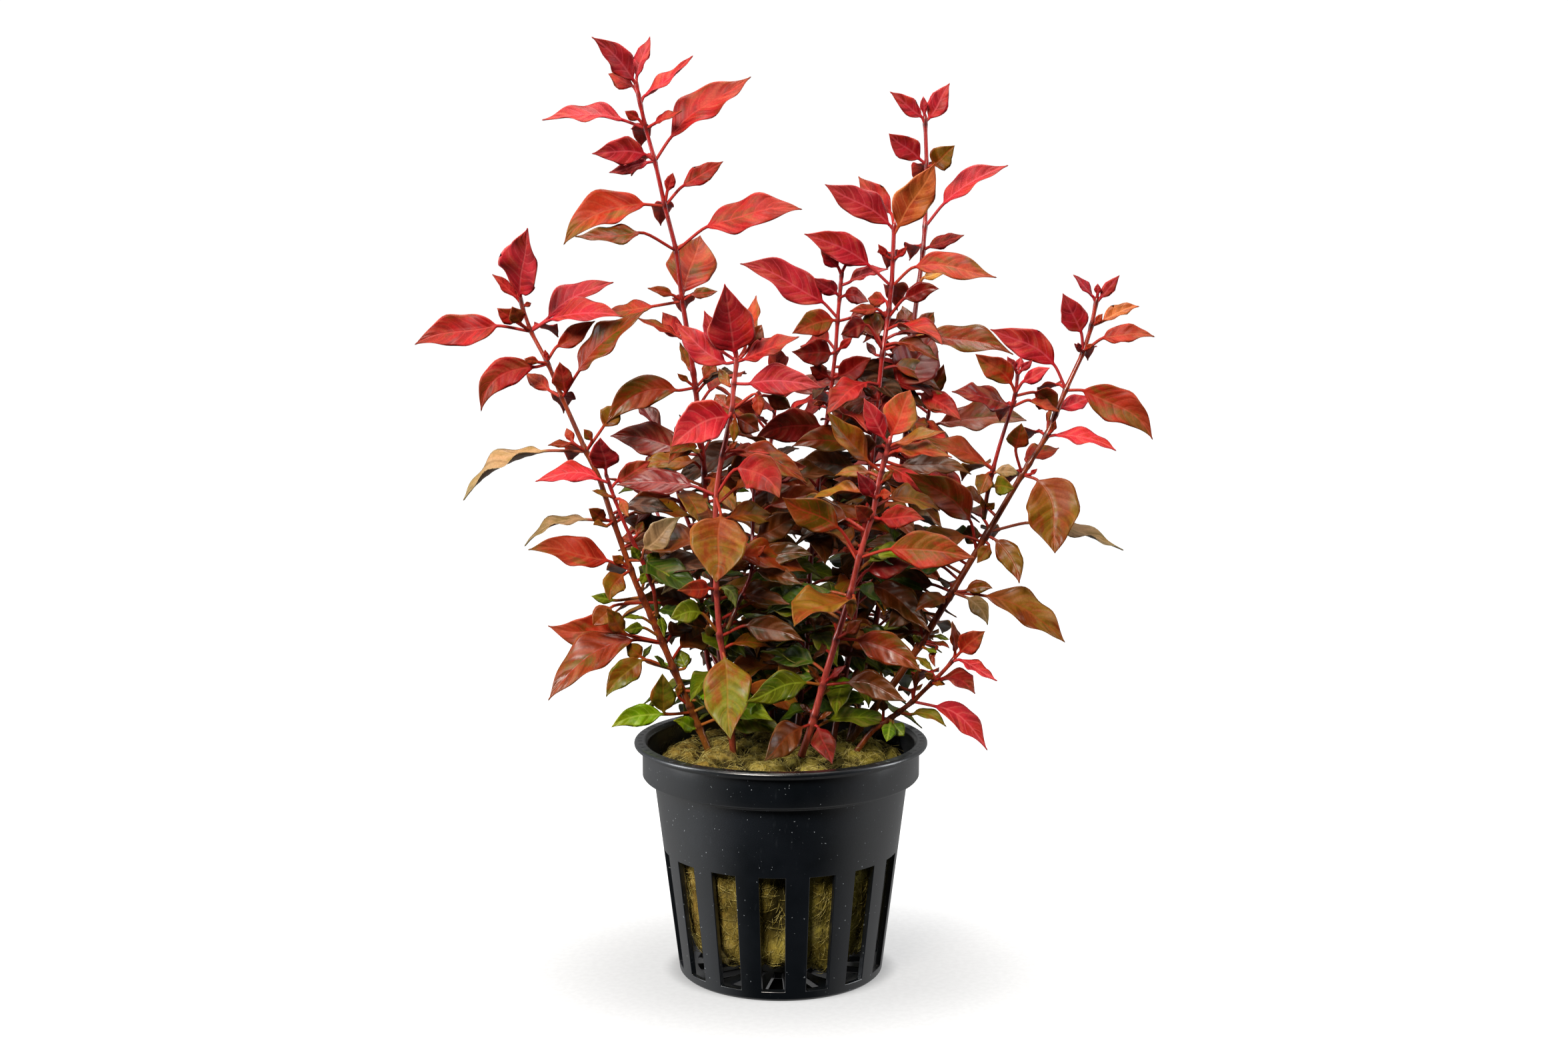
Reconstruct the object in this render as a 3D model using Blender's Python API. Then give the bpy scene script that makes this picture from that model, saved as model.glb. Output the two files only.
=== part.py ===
# Ludwigia repens: a bunch of red and olive stems in rockwool, standing in a black slotted net pot.
# Sizes are in millimetres, and MM turns them into metres. The pot's axis is Z and its base is at Z = 0.
# The plant is laid out as it is seen from the front: x and z are read on the upright plane through the
# pot's axis, and y says how far behind that plane (or, if negative, in front of it) a point really is.

import math
import random
from collections import namedtuple

import bmesh
import bpy
from mathutils import Vector
from mathutils.bvhtree import BVHTree

MM = 0.001

# Net pot
RIM_RADIUS = 27.0
RIM_HEIGHT = 43.7
RIM_INNER_RADIUS = 25.1
RIM_THICKNESS = 1.0
COLLAR_RADIUS = 25.5
COLLAR_BOTTOM = 36.8
NECK_RADIUS = 23.35
BASE_RADIUS = 18.8
WALL = 1.0
BASE_THICKNESS = 1.2
SLOT_COUNT = 15
SLOT_SPAN = math.radians(12.5)
FIRST_SLOT = math.radians(-94)
SLOT_BOTTOM = 1.9
SLOT_TOP = 23.5
BASE_DISC_RADIUS = 7.0
BASE_SLOT_END = 15.5

# Rockwool plug
WOOL_BOTTOM = 4.6
WOOL_TOP = 41.2
WOOL_SIDES = 20
SOCKET_DEPTH = 8.0
GAP = 0.3

# Stems and leaves
STEM_SIDES = 4
STEM_CORNER = 1.2
JOINT_TO_RING = 1.3
STRAIGHT_WITHIN = 0.22
STALK_RADIUS = 0.38
BLADE_THICKNESS = 0.5
BLADE_WIDTH_TO_LENGTH = 0.4
BLADE_FOLD = 0.16
LEAF_NODES = 41
LARGE_BLADE = ((0.0, 0.14), (0.24, 0.82), (0.52, 1.0), (0.8, 0.6))
MIDDLE_BLADE = ((0.0, 0.2), (0.38, 1.0), (0.74, 0.72))
SMALL_BLADE = ((0.0, 0.2), (0.48, 1.0))
STALKLESS_BLADE = ((0.36, 1.0), (0.74, 0.7))
BUD = ((0.45, 1.0),)
BLADE_AREAS = (22.0, 12.0, 4.5)
DEPTH_TRIES = (0, -1.5, 1.5, -3, 3, -4.5, 4.5, -6, 6, -8, 8, -10, 10, -13, 13, -16, 16)
TURN_TRIES = (0, 12, -12, 24, -24, 36, -36, 50, -50, 65, -65, 80, -80)
LENGTH_TRIES = (1.0, 0.85, 0.7, 0.55)
VIEW_POINT = Vector((0.58, -364.0, 129.4))

# Linear colour and roughness of each finish
FINISHES = {
    "pot_plastic": ((0.012, 0.013, 0.016), 0.38),
    "rockwool": ((0.24, 0.18, 0.06), 0.95),
    "stem": ((0.30, 0.035, 0.02), 0.45),
    "leaf_red": ((0.42, 0.05, 0.045), 0.4),
    "leaf_dark": ((0.14, 0.03, 0.015), 0.4),
    "leaf_green": ((0.17, 0.16, 0.03), 0.4),
}
LEAF_FINISH = {
    "pink": "leaf_red",
    "red": "leaf_red",
    "orange": "leaf_red",
    "maroon": "leaf_dark",
    "dark": "leaf_dark",
    "brown": "leaf_dark",
    "olive": "leaf_green",
    "green": "leaf_green",
    "lime": "leaf_green",
    "grey": "leaf_green",
    "cream": "leaf_green",
}

# A leaf as seen from the front: the joint's height on its stem, where the blade starts and ends, the width
# seen, how far the tip lies behind its joint, how far the blade arches up, and its tone.
SeenLeaf = namedtuple("SeenLeaf", "joint base tip width y bow tone shoot")
# A leaf on the side that is not seen: the way it points, in degrees round its stem, and its size.
GrownLeaf = namedtuple("GrownLeaf", "joint azimuth length rise tone shoot")
Blade = namedtuple("Blade", "start base tip half normal arch")


def seen(joint, base, tip, width, y=-2.0, bow=0.0, tone="red"):
    return SeenLeaf(joint, base, tip, width, y, bow, tone, "")


SHOOTS = {
    "tall_left": {
        "line": (
            (-9, 42.5, 8), (-11.5, 62, 9), (-13, 80, 8), (-14, 94, 7), (-15.4, 108.3, 7), (-16.6, 117, 6),
            (-17.7, 123.8, 6), (-18.7, 132.8, 5), (-20.7, 140.7, 5), (-22.4, 148.6, 4), (-24, 154.3, 4),
            (-25, 159, 3), (-25.8, 163, 3),
        ),
        "radius": (0.85, 0.42),
        "leaves": (
            seen(162, (-26.2, 162.8), (-33.5, 170.3), 4.2, -2, 0.7, "pink"),
            seen(162, (-25.5, 163.4), (-23.1, 170.4), 2.6, 2, 0, "pink"),
            seen(160, (-26.3, 161.8), (-30.6, 163.9), 3.0, 4, 0, "red"),
            seen(158.6, (-24.2, 160), (-15.5, 167.1), 1.6, 2, -0.5, "red"),
            seen(154.3, (-28, 155.8), (-42.5, 155.8), 3.1, -3, 0.9, "red"),
            seen(154.3, (-22.4, 155.2), (-17.5, 157.5), 1.5, -3, 0, "red"),
            seen(154.3, (-25.3, 156), (-27.7, 157.4), 1.9, -2, 0, "red"),
            seen(148.6, (-24.2, 149.8), (-33.7, 149.9), 4.8, -5, 0.5, "red"),
            seen(148.6, (-23.6, 148.4), (-30.7, 146.6), 2.6, -9, 0, "orange"),
            seen(148.6, (-19.5, 152.8), (-5.2, 163.4), 5.5, 3, 0.7, "red"),
            seen(140.7, (-24.2, 141), (-38.9, 133.8), 6.0, -4, 2.2, "orange"),
            seen(140.7, (-17.5, 144.2), (-10.2, 148.6), 3.3, 3, 0, "red"),
            seen(140.7, (-20.2, 143.5), (-19.2, 146.6), 2.0, -1, 0, "red"),
            seen(132.8, (-25.3, 136), (-37, 135.4), 3.4, -7, -0.5, "brown"),
            seen(132.8, (-13.3, 137), (3.9, 140.1), 5.5, -2, 1.0, "red"),
            seen(124.3, (-17.4, 125.6), (-14.4, 135.6), 8.8, 8, 0, "orange"),
            seen(123.8, (-19.4, 124.9), (-24, 126.2), 1.8, -3, 0, "brown"),
            seen(123.8, (-16, 124.9), (-11.3, 125.6), 2.0, -3, 0, "brown"),
            seen(123.8, (-23, 122.9), (-32, 121.4), 2.8, 4, 0, "olive"),
            seen(116.6, (-19, 117.8), (-26, 121), 1.6, 2, 0, "olive"),
            seen(116.6, (-18.4, 117.5), (-21.3, 121.9), 3.6, 5, 0, "red"),
            seen(111, (-16.6, 111.8), (-18.2, 116.5), 1.7, 3, 0, "olive"),
            seen(108.3, (-18.8, 107.8), (-31.6, 101.8), 5.6, -5, 2.4, "brown"),
            seen(108.3, (-16.8, 109.4), (-18.7, 110.9), 1.2, -2, 0, "brown"),
            seen(108.3, (-13.8, 110), (-11.8, 112.8), 3.0, 3, 0, "olive"),
            seen(96, (-17, 96.4), (-31, 99.5), 6.2, 4, 1.0, "maroon"),
            seen(93, (-15.8, 94.8), (-26, 93.4), 3.2, -2, 0.8, "olive"),
            seen(91, (-13.4, 91.2), (-11.4, 93), 2.0, -2, 0, "orange"),
        ),
    },
    "left": {
        "line": (
            (-13.3, 41.2, 0), (-16.5, 49, 0), (-19.3, 55.6, -1), (-21.6, 61.3, -1), (-23.4, 65.8, -1),
            (-26.1, 71.6, -2), (-27.4, 75, -2), (-30.5, 84, -2), (-33, 92, -1), (-35.3, 96.7, -1),
            (-39.4, 106.2, 0), (-42, 112.7, 0), (-45, 118.4, 1), (-46.7, 123.5, 1), (-46.9, 126, 1),
        ),
        "radius": (0.9, 0.4),
        "leaves": (
            seen(124.5, (-46.8, 125), (-45.3, 136.9), 6.7, -3, 0, "pink"),
            seen(123.5, (-47.4, 124.4), (-51.8, 128.7), 1.8, -1, 0, "red"),
            seen(122.8, (-46.1, 123), (-44.8, 123.5), 1.0, 0, 0, "red"),
            seen(124, (-47.2, 124.8), (-48.6, 128), 1.4, -2, 0, "red"),
            seen(118.5, (-47.7, 120.2), (-51, 122.6), 3.0, -3, 0, "red"),
            seen(118.5, (-46.9, 120), (-48.3, 122.9), 3.0, -6, 0, "orange"),
            seen(118.4, (-51, 119.4), (-66, 116), 5.7, -2, 0.6, "red"),
            seen(118.4, (-41.8, 120.8), (-29.9, 127.2), 4.0, 3, 1.0, "brown"),
            seen(118.4, (-41.4, 120.5), (-28.6, 121.1), 3.5, -4, 0.8, "red"),
            seen(113, (-40.3, 115.7), (-33.3, 120.3), 3.4, 2, 0, "orange"),
            seen(112.7, (-43.8, 112.9), (-46.3, 113.5), 1.6, -3, 0, "orange"),
            seen(112.9, (-42.2, 113.6), (-42.5, 115.2), 1.0, -1, 0, "red"),
            seen(112.6, (-44.4, 112), (-54.2, 103.9), 5.2, -5, 2.8, "red"),
            seen(106.4, (-41.8, 107.8), (-46, 111), 2.8, 4, 0, "orange"),
            seen(106.4, (-38.9, 107.6), (-39.9, 113), 3.8, -4, 0, "orange"),
            seen(106.4, (-36.4, 111.3), (-24.3, 122.2), 4.6, -5, 0.8, "olive"),
            seen(96.7, (-43, 96.8), (-57.8, 87.7), 1.9, -3, 1.8, "grey"),
            seen(96.7, (-38.2, 98.2), (-42.3, 97.8), 1.5, -3, 0, "brown"),
            seen(96.7, (-37.8, 98.6), (-38.8, 101), 1.7, -2, 0, "red"),
            seen(96.7, (-32, 101.4), (-29.6, 105), 4.0, 4, 0, "brown"),
            seen(96.7, (-34.3, 98.9), (-35.7, 100.8), 1.7, -2, 0, "brown"),
            seen(84, (-35.5, 84.3), (-46.8, 79.3), 2.0, -2, 1.6, "grey"),
            seen(84, (-32, 84.3), (-35, 86.3), 2.7, -4, 0, "brown"),
            seen(84, (-31.6, 83.2), (-34.2, 83.4), 1.1, -5, 0, "olive"),
            seen(75, (-31.6, 76.7), (-46.2, 78.7), 5.3, -4, 0.6, "orange"),
            seen(75, (-28.8, 76.3), (-30.8, 77.7), 1.9, -2, 0, "olive"),
            seen(75, (-28.9, 74), (-31.3, 69.2), 4.2, -6, 0.8, "olive"),
            seen(70, (-30.8, 69.4), (-34.8, 70.2), 2.0, -2, 0, "green"),
            seen(69, (-31.2, 68), (-34.4, 64.6), 4.0, -5, 0, "olive"),
            seen(61.5, (-28.5, 63), (-42.8, 64.7), 6.0, -3, -0.3, "orange"),
            seen(61.5, (-28.7, 63.4), (-32, 68), 3.0, -7, 0, "olive"),
            seen(61.3, (-27, 62), (-42.9, 50.6), 6.3, -8, 2.2, "brown"),
            seen(62.5, (-25.4, 64.3), (-28.9, 63.9), 2.2, -5, 0, "green"),
            seen(64.5, (-25.6, 66.2), (-28.8, 66.2), 1.0, -4, 0, "green"),
            seen(66.5, (-22.3, 66.6), (-21.3, 62.4), 1.6, -4, 0, "green"),
            seen(56.3, (-25.6, 58.2), (-32.2, 51.3), 4.6, -7, 0.6, "olive"),
            seen(56.3, (-25.7, 58.9), (-28.4, 61.4), 3.0, -3, 0, "olive"),
            seen(56.3, (-25.2, 58.8), (-23.6, 61.3), 1.1, 0, 0, "green"),
            seen(56.3, (-21.2, 57), (-23.3, 59.1), 1.1, -3, 0, "green"),
            seen(56.3, (-17.6, 56.9), (-18.9, 60.3), 3.0, 2, 0, "green"),
            seen(48.4, (-21.6, 48.6), (-21.8, 55.8), 4.4, -6, 0, "olive"),
            seen(48.4, (-22, 48.1), (-31.3, 45.6), 4.0, -4, 0.9, "green"),
            seen(49.5, (-18.9, 51.8), (-18.4, 54), 1.5, -2, 0, "lime"),
            seen(45.6, (-16, 45.4), (-19.9, 46.9), 2.8, -5, 0.3, "lime"),
        ),
    },
    "left_inner": {
        "line": (
            (-22.6, 66.2, -3), (-23.2, 71.5, -5), (-25.4, 77, -6), (-28.5, 83.5, -6), (-30.2, 88, -6),
            (-31.9, 93, -6),
        ),
        "radius": (0.5, 0.36),
        "leaves": (
            seen(92.4, (-31.8, 93.6), (-32.7, 99.3), 5.0, -4, 0, "pink"),
            seen(91, (-33, 91.6), (-44.7, 91.2), 3.2, -4, 1.3, "pink"),
            seen(90, (-29.8, 91.2), (-23.6, 95), 3.6, 3, 0, "red"),
            seen(88.2, (-31.2, 88.6), (-34.4, 89.6), 1.3, -3, 0, "olive"),
            seen(88, (-29.2, 88), (-27.6, 84.6), 1.7, -3, 0, "pink"),
            seen(77, (-24.8, 79), (-18.2, 84.8), 4.8, -5, 0, "grey"),
            seen(80, (-27.2, 80.3), (-28.8, 81.2), 1.6, 2, 0, "brown"),
            seen(80.6, (-26.2, 81.5), (-25.1, 84), 1.7, 3, 0, "brown"),
            seen(76.8, (-26, 77.2), (-27.3, 79.4), 1.8, -2, 0, "green"),
            seen(75, (-24.1, 75.7), (-22.4, 78.6), 2.3, 2, 0, "green"),
            seen(73, (-24.5, 74.6), (-25.6, 72.3), 1.6, 2, 0, "green"),
            seen(72.5, (-22.8, 73.3), (-20.2, 74), 2.3, -4, 0, "green"),
        ),
    },
    "front_left": {
        "line": (
            (-8.8, 40.8, -3), (-10, 56, -8), (-11.2, 62.5, -10), (-11.8, 71.3, -12), (-12, 80, -14),
            (-11.8, 88.7, -16), (-11.2, 93, -17), (-10.6, 96, -18), (-8.8, 104.2, -20), (-8.5, 109, -20),
            (-7.9, 113, -21), (-8.2, 115.5, -21),
        ),
        "radius": (0.8, 0.5),
        "leaves": (
            seen(113.5, (-8.4, 114.8), (-10.1, 127), 7.7, -2, 0, "pink"),
            seen(113, (-10, 112.7), (-19, 120), 4.8, 3, -0.5, "pink"),
            seen(113, (-6.8, 113.3), (3.4, 117.5), 3.4, -3, 0, "red"),
            seen(113, (-6.4, 115.6), (-4.4, 124.9), 3.6, 6, 0, "olive"),
            seen(113, (-11, 115.4), (-13.8, 122.2), 3.2, 8, 0, "olive"),
            seen(113, (-5.6, 115.6), (-3.4, 119.6), 3.2, 4, 0, "brown"),
            seen(109, (-5.6, 109), (7.6, 108.2), 5.0, -5, 0.8, "pink"),
            seen(109, (-9.3, 108.6), (-11.3, 111.8), 1.9, 3, 0, "olive"),
            seen(104.3, (-9.5, 103), (-19.9, 97.5), 7.0, -4, 1.2, "pink"),
            seen(104.3, (-10, 104.9), (-11.8, 107.1), 2.3, 3, 0, "brown"),
            seen(104.3, (-4.3, 107), (-3.8, 103), 2.2, -1, 0, "orange"),
            seen(104.3, (-2.4, 106.8), (1.8, 104.6), 2.8, 3, 0, "brown"),
            seen(104, (-7.8, 103), (-3.8, 100.4), 3.6, 5, 0, "brown"),
            seen(104, (-8.3, 102.6), (-8.6, 98.2), 1.7, -3, 0, "olive"),
            seen(96, (-9.4, 97.2), (-7.8, 98.6), 1.2, -2, 0, "cream"),
            seen(88.7, (-7.8, 93.6), (-0.2, 88.1), 6.4, -7, 1.6, "red"),
            seen(88.7, (-16, 90.4), (-30, 90.6), 4.2, 2, 0.5, "maroon"),
            seen(88.5, (-10.9, 84.8), (-11.9, 72.6), 9.8, -10, 0, "olive"),
            seen(71.3, (-13.2, 71.6), (-19, 71.2), 3.5, -5, 0, "orange"),
            seen(70.8, (-10.8, 71.7), (-8.3, 67.8), 2.3, -3, 1.0, "green"),
            seen(63, (-14.8, 67.1), (-20.3, 66), 4.2, -2, 0.5, "green"),
            seen(62.6, (-6.3, 64.7), (4.5, 61.6), 4.6, -4, 0.6, "dark"),
            seen(60, (-10.3, 58.6), (-9.3, 43.3), 8.4, -12, 0, "olive"),
            seen(52, (-4.4, 50), (-4.6, 46.6), 2.4, -3, 0, "green"),
        ),
    },
    "front_branch": {
        "line": (
            (-9.8, 64, -11), (-7.3, 70, -10), (-5.2, 74.5, -9), (-5.2, 80.3, -8), (-5, 87, -6), (-4.8, 93, -5),
        ),
        "radius": (0.5, 0.36),
        "leaves": (
            seen(80.3, (-4.2, 81.2), (4.2, 85.6), 4.8, -3, 0, "maroon"),
            seen(84, (-4.2, 84.8), (0.5, 87.8), 2.5, 3, 0, "olive"),
            seen(76.4, (-4.2, 76.8), (6, 77.6), 4.0, -2, 0.8, "dark"),
            seen(76.4, (-5.9, 76.2), (-7.2, 75.2), 1.0, -1, 0, "dark"),
            seen(77, (-4.8, 77.5), (-2.8, 79.6), 1.6, -4, 0, "orange"),
            seen(74.5, (-4.4, 75), (4.2, 72.3), 3.1, -4, 0, "olive"),
            seen(70.2, (-6.3, 70.4), (1.8, 68.6), 2.8, -4, 0, "dark"),
            seen(66.5, (-7.8, 66.9), (-4.8, 70), 3.0, 3, 0, "green"),
            seen(90, (-4.2, 91.3), (4.8, 94), 4.6, 2, 0.6, "maroon"),
            seen(92.5, (-5.2, 94), (-7.4, 98.4), 3.2, 3, 0, "dark"),
        ),
    },
    "front_right": {
        "line": (
            (3.4, 39.2, -8), (5.8, 46.3, -10), (7.7, 53.6, -12), (10.2, 62.2, -14), (12.7, 70.5, -16),
            (14.2, 77.2, -18), (16.8, 85.5, -19), (18.2, 93, -20), (19.6, 97.8, -21), (19.8, 99.5, -21),
        ),
        "radius": (0.9, 0.5),
        "leaves": (
            seen(98, (18.7, 99.2), (15, 106.4), 3.6, -2, 0, "pink"),
            seen(98, (20.1, 99.8), (23.4, 107.9), 5.9, 3, 0, "pink"),
            seen(97.5, (21, 98.2), (29.9, 100.3), 2.2, -3, 0, "olive"),
            seen(96, (20.8, 96.8), (31.2, 95.6), 2.4, -4, 0.5, "orange"),
            seen(95, (22, 94.1), (34.7, 92.5), 3.6, 1, 0.9, "dark"),
            seen(93, (15.7, 95), (8.5, 104), 4.0, -4, -0.3, "olive"),
            seen(92, (17.4, 91.6), (16.4, 93.6), 1.7, 1, 0, "green"),
            seen(90.5, (18.6, 91.4), (20.6, 93.4), 1.4, -2, 0, "cream"),
            seen(88, (16.6, 88.8), (13.8, 93.1), 2.8, -4, 0, "pink"),
            seen(88, (18.2, 88.8), (20.2, 89), 2.0, -4, 0, "orange"),
            seen(84.8, (18.2, 84.4), (26.3, 84.2), 4.0, -5, 0.5, "red"),
            seen(84.8, (16, 84.4), (13.4, 86.8), 3.2, -4, 0, "orange"),
            seen(77.2, (10.4, 82.8), (0.2, 88.4), 5.8, -4, 0, "brown"),
            seen(77.2, (19.8, 78.8), (35.5, 77.2), 6.3, -6, 0.6, "orange"),
            seen(71, (16, 75), (23.8, 76), 4.0, 2, 0, "brown"),
            seen(69.8, (11.9, 69.7), (2.4, 64.5), 5.8, -7, 0.8, "olive"),
            seen(70.5, (13.4, 70.2), (12.9, 65.6), 1.8, -5, 0, "olive"),
            seen(62.2, (14, 62), (25.9, 56), 5.4, -5, 1.0, "brown"),
            seen(62.2, (12.2, 63.4), (15, 65.8), 2.3, -7, 0, "orange"),
            seen(53.6, (4.5, 54), (-6.6, 50.3), 5.2, -6, 0.6, "green"),
            seen(53.6, (12.3, 54), (23.2, 50.4), 4.4, -5, 0.9, "olive"),
            seen(53.6, (6.8, 55.1), (4.8, 57.4), 1.5, -2, 0, "orange"),
            seen(53.6, (9, 54.9), (12, 57.3), 1.3, -4, 0, "maroon"),
            seen(46.3, (4, 45.6), (-3.1, 39.2), 5.2, -8, 0.5, "maroon"),
            seen(46.3, (6.9, 45.6), (9.5, 38.6), 4.0, -8, 0, "maroon"),
            seen(46.3, (6.8, 47.2), (9.6, 48.6), 1.0, -1, 0, "orange"),
            seen(48, (5.4, 48.8), (3.4, 50), 1.2, 2, 0, "orange"),
        ),
    },
    "tall_right": {
        "line": (
            (12.6, 43.4, 9), (15.6, 55, 12), (18.6, 72, 13), (21.3, 88, 14), (22.6, 100, 15), (23.6, 117, 15),
            (24.4, 124, 16), (25.3, 131, 17), (25.8, 137, 18), (26, 148, 19), (25.6, 157, 19),
        ),
        "radius": (0.8, 0.45),
        "leaves": (
            seen(155, (25, 156.4), (19.3, 160.8), 3.0, -1, 0, "red"),
            seen(155.5, (26.4, 156.2), (30, 162.3), 3.8, 2, 0, "red"),
            seen(156, (25.5, 157), (25.3, 160), 1.5, -1, 0, "dark"),
            seen(148, (24.7, 149), (19.2, 153.5), 4.4, -3, 0, "red"),
            seen(147.6, (27.2, 148), (31, 151.4), 4.4, -5, 0, "olive"),
            seen(137, (29, 141), (40.6, 147.9), 3.5, 2, 0.8, "orange"),
            seen(132.8, (26.4, 133.4), (32.9, 135.6), 2.5, -2, 0, "brown"),
            seen(126.6, (25.6, 128), (30.6, 129.5), 2.0, -2, 0, "cream"),
            seen(117.6, (24.8, 118.2), (27.6, 121.9), 3.4, 3, 0, "brown"),
            seen(117.4, (22.9, 118), (21.8, 123), 3.8, 4, 0, "brown"),
            seen(117, (24.7, 117.6), (27, 118.7), 1.1, -2, 0, "cream"),
            seen(87.6, (22.6, 88), (27.1, 90.3), 2.1, -2, 0, "dark"),
            seen(64, (20.8, 66.4), (24.4, 60.4), 3.3, -5, 0.5, "brown"),
        ),
    },
    "right_middle": {
        "line": (
            (9.4, 41.8, 3), (12.6, 60, 4), (14.6, 76, 4), (16.4, 94, 4), (17.5, 106, 5), (18.4, 115, 5),
            (19.3, 120.8, 6), (19.9, 126.4, 6), (20.1, 131.4, 6), (20.3, 138, 6),
        ),
        "radius": (0.8, 0.48),
        "leaves": (
            seen(136.4, (19.4, 137.4), (7.8, 144.6), 5.4, -2, 0.4, "red"),
            seen(137, (19.7, 139.4), (13.8, 146), 4.0, 5, 0, "dark"),
            seen(135.6, (21, 137), (27.5, 148.4), 6.4, -4, 0, "orange"),
            seen(131.2, (19, 131.8), (17.4, 134), 1.4, -2, 0, "red"),
            seen(131.2, (21, 131.8), (22.6, 133.6), 1.4, -2, 0, "red"),
            seen(126.4, (15.8, 130.2), (4.1, 135.8), 5.3, -3, 0.7, "red"),
            seen(126.4, (24, 129.9), (38.8, 128), 4.7, -3, 0.8, "orange"),
            seen(120.8, (22.2, 124.3), (28.5, 126), 3.4, -4, 0.5, "maroon"),
            seen(120.8, (17.2, 122.4), (12.3, 122), 2.0, -4, 0, "red"),
            seen(122, (18.8, 123.9), (15.6, 124.3), 2.8, 4, 0, "maroon"),
            seen(115, (15.2, 119.6), (10.8, 117.8), 3.8, -4, 0.3, "maroon"),
            seen(115, (17.5, 117.5), (15.4, 122.2), 4.2, 4, 0, "brown"),
            seen(115, (26.4, 117.6), (42, 114.2), 4.9, -4, 0.8, "brown"),
            seen(114, (17, 114.3), (15.4, 116.5), 1.4, 2, 0, "brown"),
            seen(106, (21.3, 109.2), (27.4, 117.4), 9.2, 7, 0, "brown"),
            seen(106, (13, 108.8), (9, 106.8), 2.6, -3, 0, "maroon"),
            seen(106, (16.6, 107), (14.6, 108.4), 1.5, -3, 0, "dark"),
            seen(100, (15, 101), (8.8, 105.8), 5.0, 4, 0, "brown"),
            seen(92, (13.4, 94), (3, 94.6), 5.2, 4, 0.4, "dark"),
            seen(82, (12.6, 83.6), (4.8, 81.6), 4.2, 5, 0, "dark"),
        ),
    },
    "middle": {
        "line": (
            (2.6, 42, 5), (4.9, 62, 6), (5.2, 74, 7), (6.8, 91, 8), (8.3, 102, 8), (9.3, 110, 8), (9.9, 115, 8),
            (10.2, 120.4, 8), (10.6, 124.8, 8), (11, 129.6, 8),
        ),
        "radius": (0.75, 0.4),
        "leaves": (
            seen(128.4, (10.2, 130), (6.8, 134.2), 3.0, -3, 0, "red"),
            seen(128.8, (11.6, 130.2), (14.2, 133.2), 2.6, -4, 0, "red"),
            seen(126.6, (12.3, 127.2), (19.4, 129.6), 2.0, -3, 0.4, "red"),
            seen(124.6, (10, 125.2), (6, 128), 3.0, -4, 0, "maroon"),
            seen(124.4, (11.4, 124.8), (15.8, 123.7), 3.0, -5, 0.5, "maroon"),
            seen(120.8, (7.6, 123.6), (-7.4, 130.5), 6.2, -3, 0.8, "red"),
            seen(120.3, (9.4, 120.4), (2, 118), 4.8, -4, 0.5, "orange"),
            seen(120.2, (12.4, 120.8), (18, 123), 1.7, 3, 0, "maroon"),
            seen(114.8, (9, 114.4), (1.9, 114.8), 4.8, -5, 0, "maroon"),
            seen(114.8, (10.7, 115.4), (13, 117.4), 1.6, -3, 0, "red"),
            seen(110, (10.4, 110.4), (16.4, 113.7), 4.4, -4, 0, "maroon"),
            seen(109.6, (8.4, 110.4), (5.2, 112), 3.0, -3, 0, "maroon"),
            seen(105, (7.6, 105.6), (5.8, 105.2), 1.2, -3, 0, "brown"),
            seen(101.4, (7.2, 101.2), (-4.8, 99), 6.2, -7, 1.2, "dark"),
            seen(88, (5.4, 89), (-2.6, 91), 4.4, 4, 0.6, "dark"),
            seen(66, (4.3, 66.2), (-3.4, 66.8), 4.0, 4, 0.6, "green"),
        ),
    },
    "right": {
        "line": (
            (12.4, 42.8, 4), (15.8, 47.2, 3), (21, 54.2, 2), (26, 61.8, 1), (31.3, 70.9, 0), (37.8, 82, 0),
            (43.8, 92.5, 0), (48.1, 99.4, 0), (51.4, 107.8, 1), (54.5, 114.6, 2), (55.9, 119.3, 2),
            (56.9, 125, 2),
        ),
        "radius": (1.0, 0.45),
        "leaves": (
            seen(123.4, (56.1, 124.6), (52.4, 128.6), 1.4, -1, 0, "red"),
            seen(123.4, (57.4, 124.4), (60.8, 128.5), 2.2, -1, 0, "red"),
            seen(124, (56.9, 125.2), (56.9, 127), 1.3, -1, 0, "dark"),
            seen(119.4, (56.7, 120), (57.9, 121.6), 1.3, -1, 0, "olive"),
            seen(119.4, (58, 120.3), (64.5, 122.9), 2.2, 3, 0.4, "cream"),
            seen(114.6, (54, 118.4), (50.6, 125.3), 4.6, -3, 0, "pink"),
            seen(114.6, (58, 117.2), (67.4, 117.4), 3.3, -3, 0.6, "orange"),
            seen(114.8, (55.2, 115.4), (56.2, 116.2), 1.0, -2, 0, "olive"),
            seen(114.8, (53.9, 115.2), (53.5, 116.4), 1.0, -2, 0, "red"),
            seen(108, (49.2, 112.5), (37.6, 118.8), 5.4, 2, 0.9, "red"),
            seen(107.8, (54.5, 107.8), (67.4, 98.8), 6.3, -4, 1.6, "orange"),
            seen(103.5, (50.6, 104.6), (56.6, 106.6), 2.9, 4, 0, "pink"),
            seen(99.4, (49.7, 99.7), (60.9, 96.8), 3.0, -3, 0.8, "pink"),
            seen(99.6, (49.2, 100.6), (49.8, 102.4), 1.1, -3, 0, "orange"),
            seen(100, (48.4, 102), (48.9, 105), 1.0, 3, 0, "orange"),
            seen(94.4, (44.4, 95.4), (50.5, 97.4), 3.0, 5, 0, "brown"),
            seen(92.5, (42.6, 97.4), (43.6, 101.9), 3.9, -3, 0, "brown"),
            seen(92.5, (46.7, 91.4), (50, 78), 9.4, -8, 1.4, "olive"),
            seen(92.5, (45.4, 92.6), (46.6, 93.6), 0.9, -2, 0, "red"),
            seen(82, (45.5, 83.7), (62.6, 78.6), 3.4, 3, 0.9, "grey"),
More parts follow.
